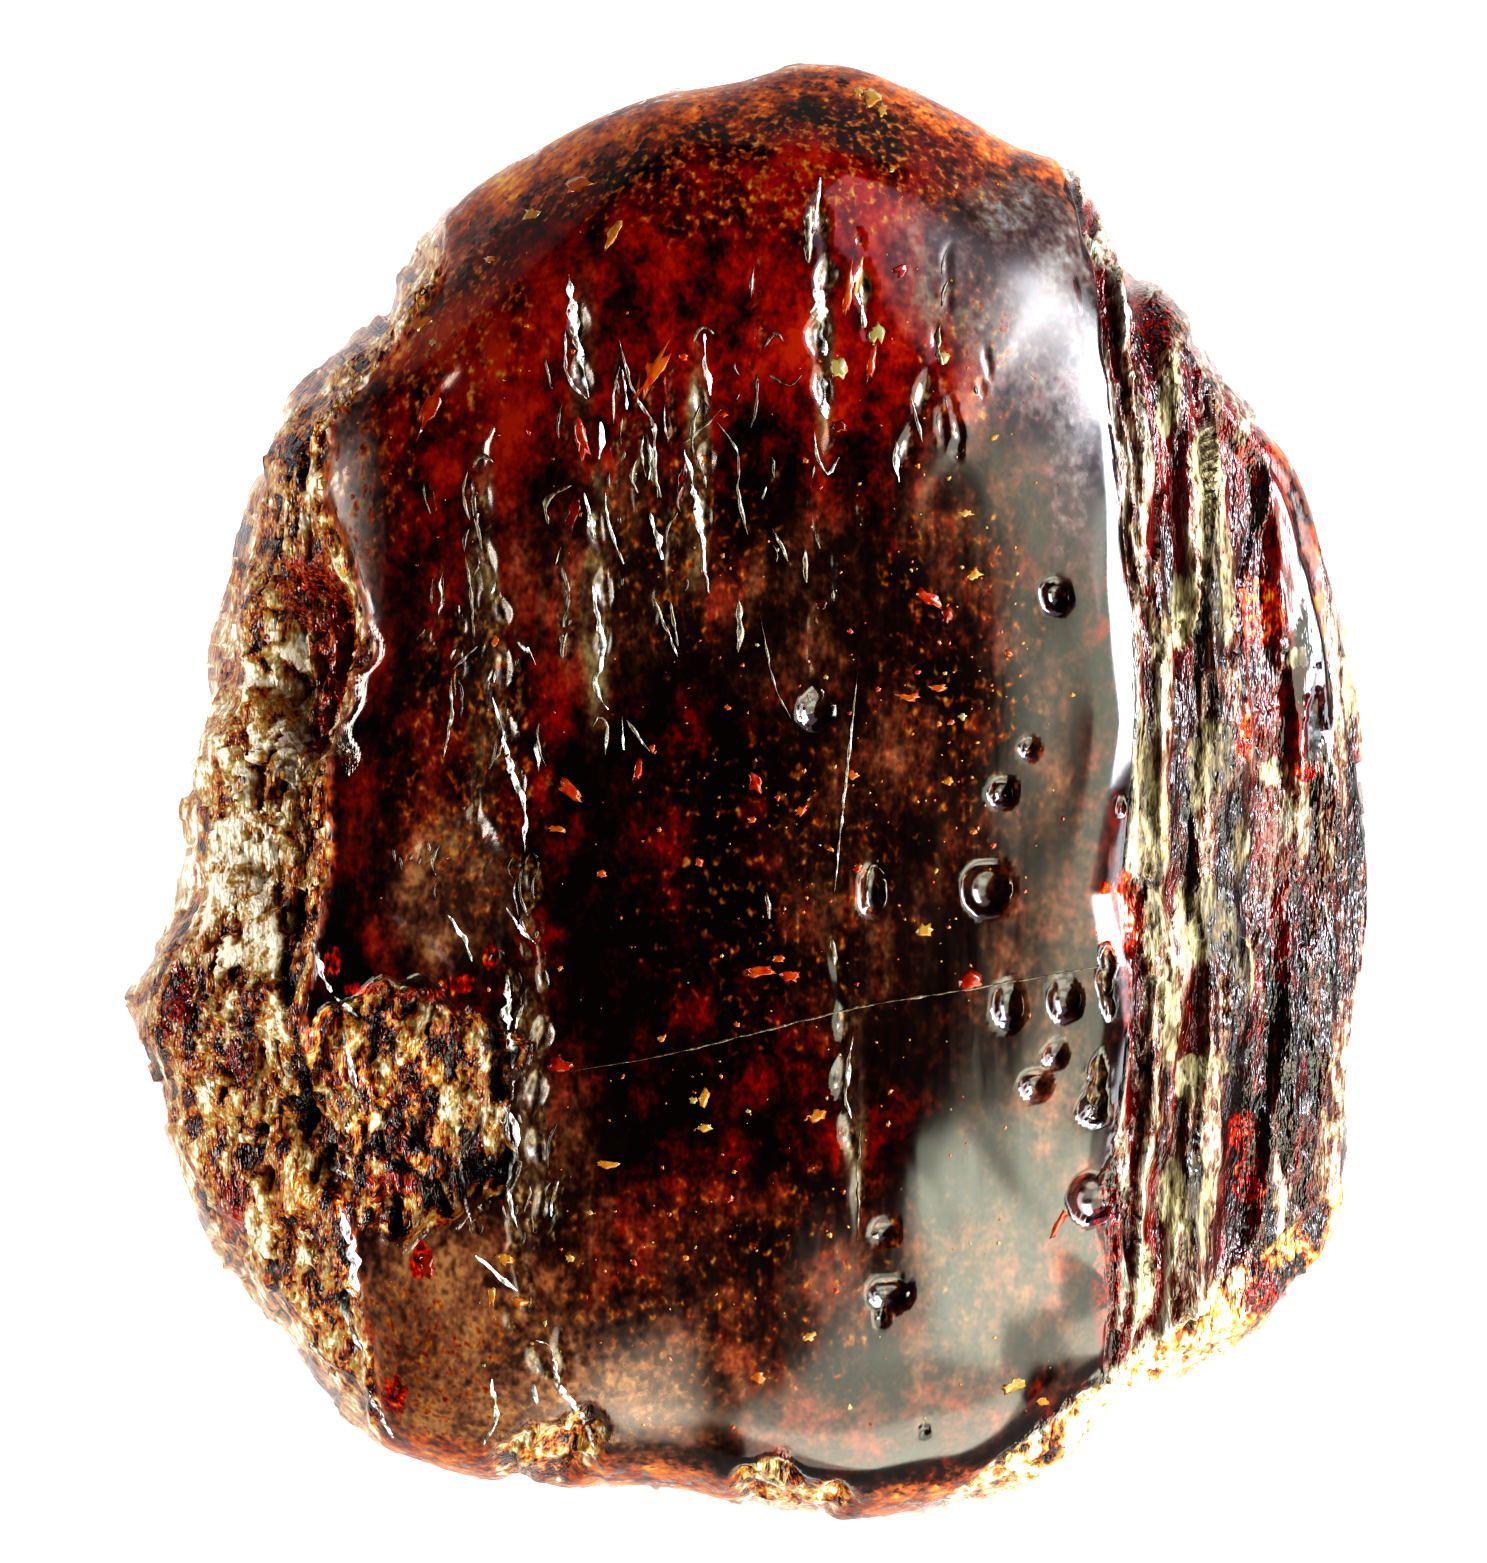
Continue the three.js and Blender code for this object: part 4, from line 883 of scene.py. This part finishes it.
# %%
# Flecks
FLECKS = (  # x, y, half width, half height, lean in degrees, tone: 0 is red, 0.5 orange, 0.8 gold and 1 tan
    (-10.6, 22.7, 0.6, 1.6, 10, 0.40), (-11.2, 18.2, 0.5, 1.3, -15, 0.22), (-6.2, 27.1, 0.7, 3.2, -30, 0.55),
    (-4.2, 20.1, 0.3, 1.5, -10, 0.20), (7.3, 33.3, 0.3, 1.6, -12, 0.75), (6.6, 32.3, 0.3, 1.9, -8, 0.50),
    (8.1, 27.9, 0.3, 1.5, -12, 0.40), (6.0, 27.5, 0.7, 0.8, 20, 1.00), (8.5, 29.7, 0.6, 0.8, 0, 1.00),
    (6.0, 23.7, 0.6, 0.5, 0, 0.15), (11.8, 12.6, 1.0, 0.5, -35, 0.45), (13.0, 11.5, 0.4, 0.6, 0, 0.30),
    (0.6, 0.7, 0.5, 1.0, 25, 0.35), (14.5, -12.2, 0.9, 0.7, 0, 0.35), (0.9, -11.5, 1.0, 0.4, 10, 0.50),
    (2.9, -11.8, 0.7, 0.4, 0, 0.45), (2.1, -10.7, 0.4, 0.3, 0, 0.60), (3.6, -1.1, 0.6, 0.3, 30, 0.55),
    (-12.0, -17.5, 0.9, 0.6, 0, 0.35), (-7.0, 1.5, 0.3, 0.9, -15, 0.30), (-11.3, 0.1, 1.2, 0.4, -40, 0.45),
    (-12.3, -2.3, 0.6, 0.3, 0, 0.60), (-20.5, 25.2, 0.5, 2.1, -28, 0.42), (-14.0, 37.8, 0.6, 0.5, 0, 0.80),
    (-16.7, 34.8, 0.5, 0.3, 0, 0.75), (-21.3, 30.7, 0.9, 0.7, 30, 0.65), (-27.7, 20.1, 0.4, 0.6, 0, 0.80),
    (-11.0, 39.7, 1.0, 0.5, 20, 0.55), (-8.6, 36.3, 0.4, 1.1, -25, 0.75), (8.2, 45.5, 0.7, 0.8, 0, 0.80),
    (7.3, 45.9, 0.4, 0.4, 0, 0.80), (8.9, 44.6, 0.4, 0.5, 0, 0.75), (-2.7, -19.7, 0.4, 0.7, -15, 0.75),
    (-2.8, -21.6, 0.6, 0.3, 0, 0.80), (4.6, -20.8, 0.6, 0.4, 30, 0.70), (-9.0, -24.0, 0.9, 0.3, 0, 0.75),
    (17.5, -38.5, 0.9, 0.5, 20, 0.75), (19.3, -39.7, 0.6, 0.3, 0, 0.75), (-11.4, -30.1, 0.3, 0.3, 0, 0.85),
    (4.1, -35.2, 0.5, 0.3, 20, 0.80), (20.3, -27.9, 0.3, 1.3, -32, 0.45), (-23.6, -26.1, 0.9, 0.5, 20, 0.50),
    (-20.7, -30.6, 0.6, 0.9, 15, 0.30), (-15.6, -30.1, 0.6, 0.5, 0, 0.75), (-14.6, -32.9, 0.8, 0.5, 0, 0.65),
    (-16.5, -32.6, 0.3, 0.8, 0, 0.75), (-16.3, 9.8, 0.3, 0.4, 0, 0.70), (6.9, 1.2, 0.5, 0.3, 0, 0.60),
    (-3.0, -4.4, 0.3, 0.3, 0, 0.45), (12.5, 6.8, 0.7, 0.3, 10, 0.60), (14.2, 18.1, 0.5, 0.3, 0, 0.80),
    (10.5, 6.2, 0.8, 0.3, 5, 0.55),
)
STREWN = (  # centre x, y, spread x, y, count, mean tone
    (0, -5, 9, 14, 160, 0.5), (12, 6, 5, 14, 160, 0.7), (0, -30, 14, 8, 110, 0.7), (-16, 26, 7, 9, 40, 0.6),
)
FLECK_THICK, FLECK_RAGGED, FLECK_SIZE = 0.04, 0.9, 0.85
fleck_mesh = bmesh.new()
fleck_tone = fleck_mesh.verts.layers.float.new("tone")


def add_fleck(at_x, at_y, wide, high, lean, tone):
    """Adds one flattened lens with a wandering outline."""
    turned = math.radians(lean)
    for vertex in bmesh.ops.create_uvsphere(fleck_mesh, u_segments=14, v_segments=4, radius=1)["verts"]:
        swell = 1 + FLECK_RAGGED * noise.noise(Vector((vertex.co.x * 2.2 + at_x * 7, vertex.co.y * 2.2 + at_y * 5, tone)))
        off_x, off_y = vertex.co.x * wide * swell * FLECK_SIZE, vertex.co.y * high * swell * FLECK_SIZE
        place_x = at_x + off_x * math.cos(turned) - off_y * math.sin(turned)
        place_y = at_y + off_x * math.sin(turned) + off_y * math.cos(turned)
        rise = FLECK_THICK * vertex.co.z
        vertex.co = Vector((place_x, place_y, height_at(place_x, place_y) + rise)) * MM
        vertex[fleck_tone] = tone


for fleck in FLECKS:
    add_fleck(*fleck)
for at_x, at_y, spread_x, spread_y, count, mean_tone in STREWN:
    for _ in range(count):
        place_x, place_y = rng.normal(at_x, spread_x), rng.normal(at_y, spread_y)
        size, stretch = 0.06 + rng.exponential(0.06), rng.uniform(0.5, 1.4)
        tone = float(np.clip(rng.normal(mean_tone, 0.2), 0.05, 1))
        lean = rng.uniform(-40, 40)
        if left_edge_x(place_y) + 2 < place_x < ridge_x(place_y) - 2 and abs(place_y) < 44:
            add_fleck(place_x, place_y, size * stretch, size, lean, tone)
for face in fleck_mesh.faces:
    face.smooth = True
amber_flecks = bpy.data.objects.new("amber_flecks", bpy.data.meshes.new("amber_flecks"))
bpy.context.collection.objects.link(amber_flecks)
fleck_mesh.to_mesh(amber_flecks.data)
print("fleck faces", len(fleck_mesh.faces))
fleck_mesh.free()

# %%
# Fleck finish: clear orange to gold resin over a small crack, which sends the light back
fleck_resin, add = new_material("fleck_resin")
place = add("TexCoord", out="Object")
spread = add("Mapping", {"Vector": place, "Scale": [1 / (side * MM) for side in (0.5, 0.8, 0.5)]})
mottle = add("TexNoise", {"Vector": spread, "Scale": 1.0, "Detail": 4.0, "Roughness": 0.65})
tone = add("Attribute", attribute_name="tone", out="Fac")
tone = add("Math", (mottle, 0.7, add("Math", (tone, 0.35), operation="SUBTRACT")), operation="MULTIPLY_ADD")
colour = add("ValToRGB", (tone,), stops=(
    (0.05, "#200200"), (0.25, "#500a02"), (0.45, "#782608"), (0.65, "#7c480e"), (0.82, "#7e6028"), (1.0, "#6c6444"),
))
surface = add("BsdfPrincipled", {"Base Color": colour, "Roughness": 0.12, "IOR": 1.54})
add("OutputMaterial", {"Surface": surface})
amber_flecks.data.materials.append(fleck_resin)
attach(amber_flecks, "root")
print("fleck nodes", len(fleck_resin.node_tree.nodes))

# %% [markdown]
# The nugget lies on a small sheet of white paper on a pale table in a dim room, under soft daylight from its right.
# Two tall windows give the broad grey sheen on the face: their edges are placed so that they show where the photograph has them. A narrow bright one makes the white
# lines along the ridge and the ribs, and one at the left makes the crust glint.

# %%
# Floor and light
FLOORS = (  # name, side, height, base colour and glow: a white sheet, and the pale table that it lies on
    ("paper_sheet", 0.16, -0.0001, 0.25, 0.75), ("pale_table", 1.2, -0.001, 0.16, 0),
)
for name, side, level_z, grey, glow in FLOORS:
    floor_mesh = bmesh.new()
    flat = Matrix.Translation((0, 0, level_z))
    bmesh.ops.create_grid(floor_mesh, x_segments=1, y_segments=1, size=side / 2, matrix=flat)
    floor = bpy.data.objects.new(name, bpy.data.meshes.new(name))
    floor_mesh.to_mesh(floor.data)
    floor_mesh.free()
    bpy.context.collection.objects.link(floor)
    matt, add = new_material(name)
    surface = add("BsdfPrincipled", {
        "Base Color": (grey, grey, grey, 1), "Roughness": 0.9,
        "Emission Color": (1, 1, 1, 1), "Emission Strength": glow,
    })
    add("OutputMaterial", {"Surface": surface})
    floor.data.materials.append(matt)


def softbox(name, toward, upright, size, radiance, colour="#ffffff", distance=1.2):
    """A rectangular lamp that faces the nugget, with its long side along the upright direction."""
    lamp = bpy.data.objects.new(name, bpy.data.lights.new(name, "AREA"))
    bpy.context.collection.objects.link(lamp)
    lamp.data.shape = "RECTANGLE"
    lamp.data.size, lamp.data.size_y = (side * distance for side in size)
    lamp.data.energy = radiance * math.pi * lamp.data.size * lamp.data.size_y
    lamp.data.color = linear(colour)[:3]
    back = Vector(toward).normalized()
    side = Vector(upright).cross(back).normalized()
    lamp.matrix_world = Matrix((side, back.cross(side), back)).transposed().to_4x4()
    lamp.location = Vector((0, 0, 0.03)) + back * distance
    return lamp


softbox("window", (0.62, -0.215, 0.79), (0, 1, 0), (0.5, 1.08), 3.9, "#f9ffea")
softbox("low_window", (0.75, -1.3, 0.8), (0.52, 0.64, 0.56), (0.98, 1.3), 3.8, "#f7fcea")
softbox("bright_window", (1.88, 0.7, 1), (0, 1, 0), (0.34, 0.8), 22, "#f4faff")
softbox("high_window", (0.95, 1.05, 1.0), (-0.74, 0.67, 0), (0.8, 0.9), 1.8, "#ece4f4")
softbox("side_window", (1, 0.05, 0.2), (0, 1, 0), (0.26, 1.2), 7, "#f8fcff")
softbox("front_window", (0.45, -1.3, 0.14), (1, 0, 0), (0.6, 1.0), 3, "#fff2e0")
softbox("left_window", (-3.2, -0.1, 0.8), (0, 1, 0), (0.3, 0.9), 13, "#fff8f0")
world = bpy.data.worlds.new("room")
bpy.context.scene.world = world
world.use_nodes = True
world.node_tree.nodes["Background"].inputs["Color"].default_value = (1, 1, 1, 1)
world.node_tree.nodes["Background"].inputs["Strength"].default_value = 0.06
bpy.context.scene.view_settings.view_transform = "Standard"
bpy.context.scene.view_settings.look = "Very High Contrast"
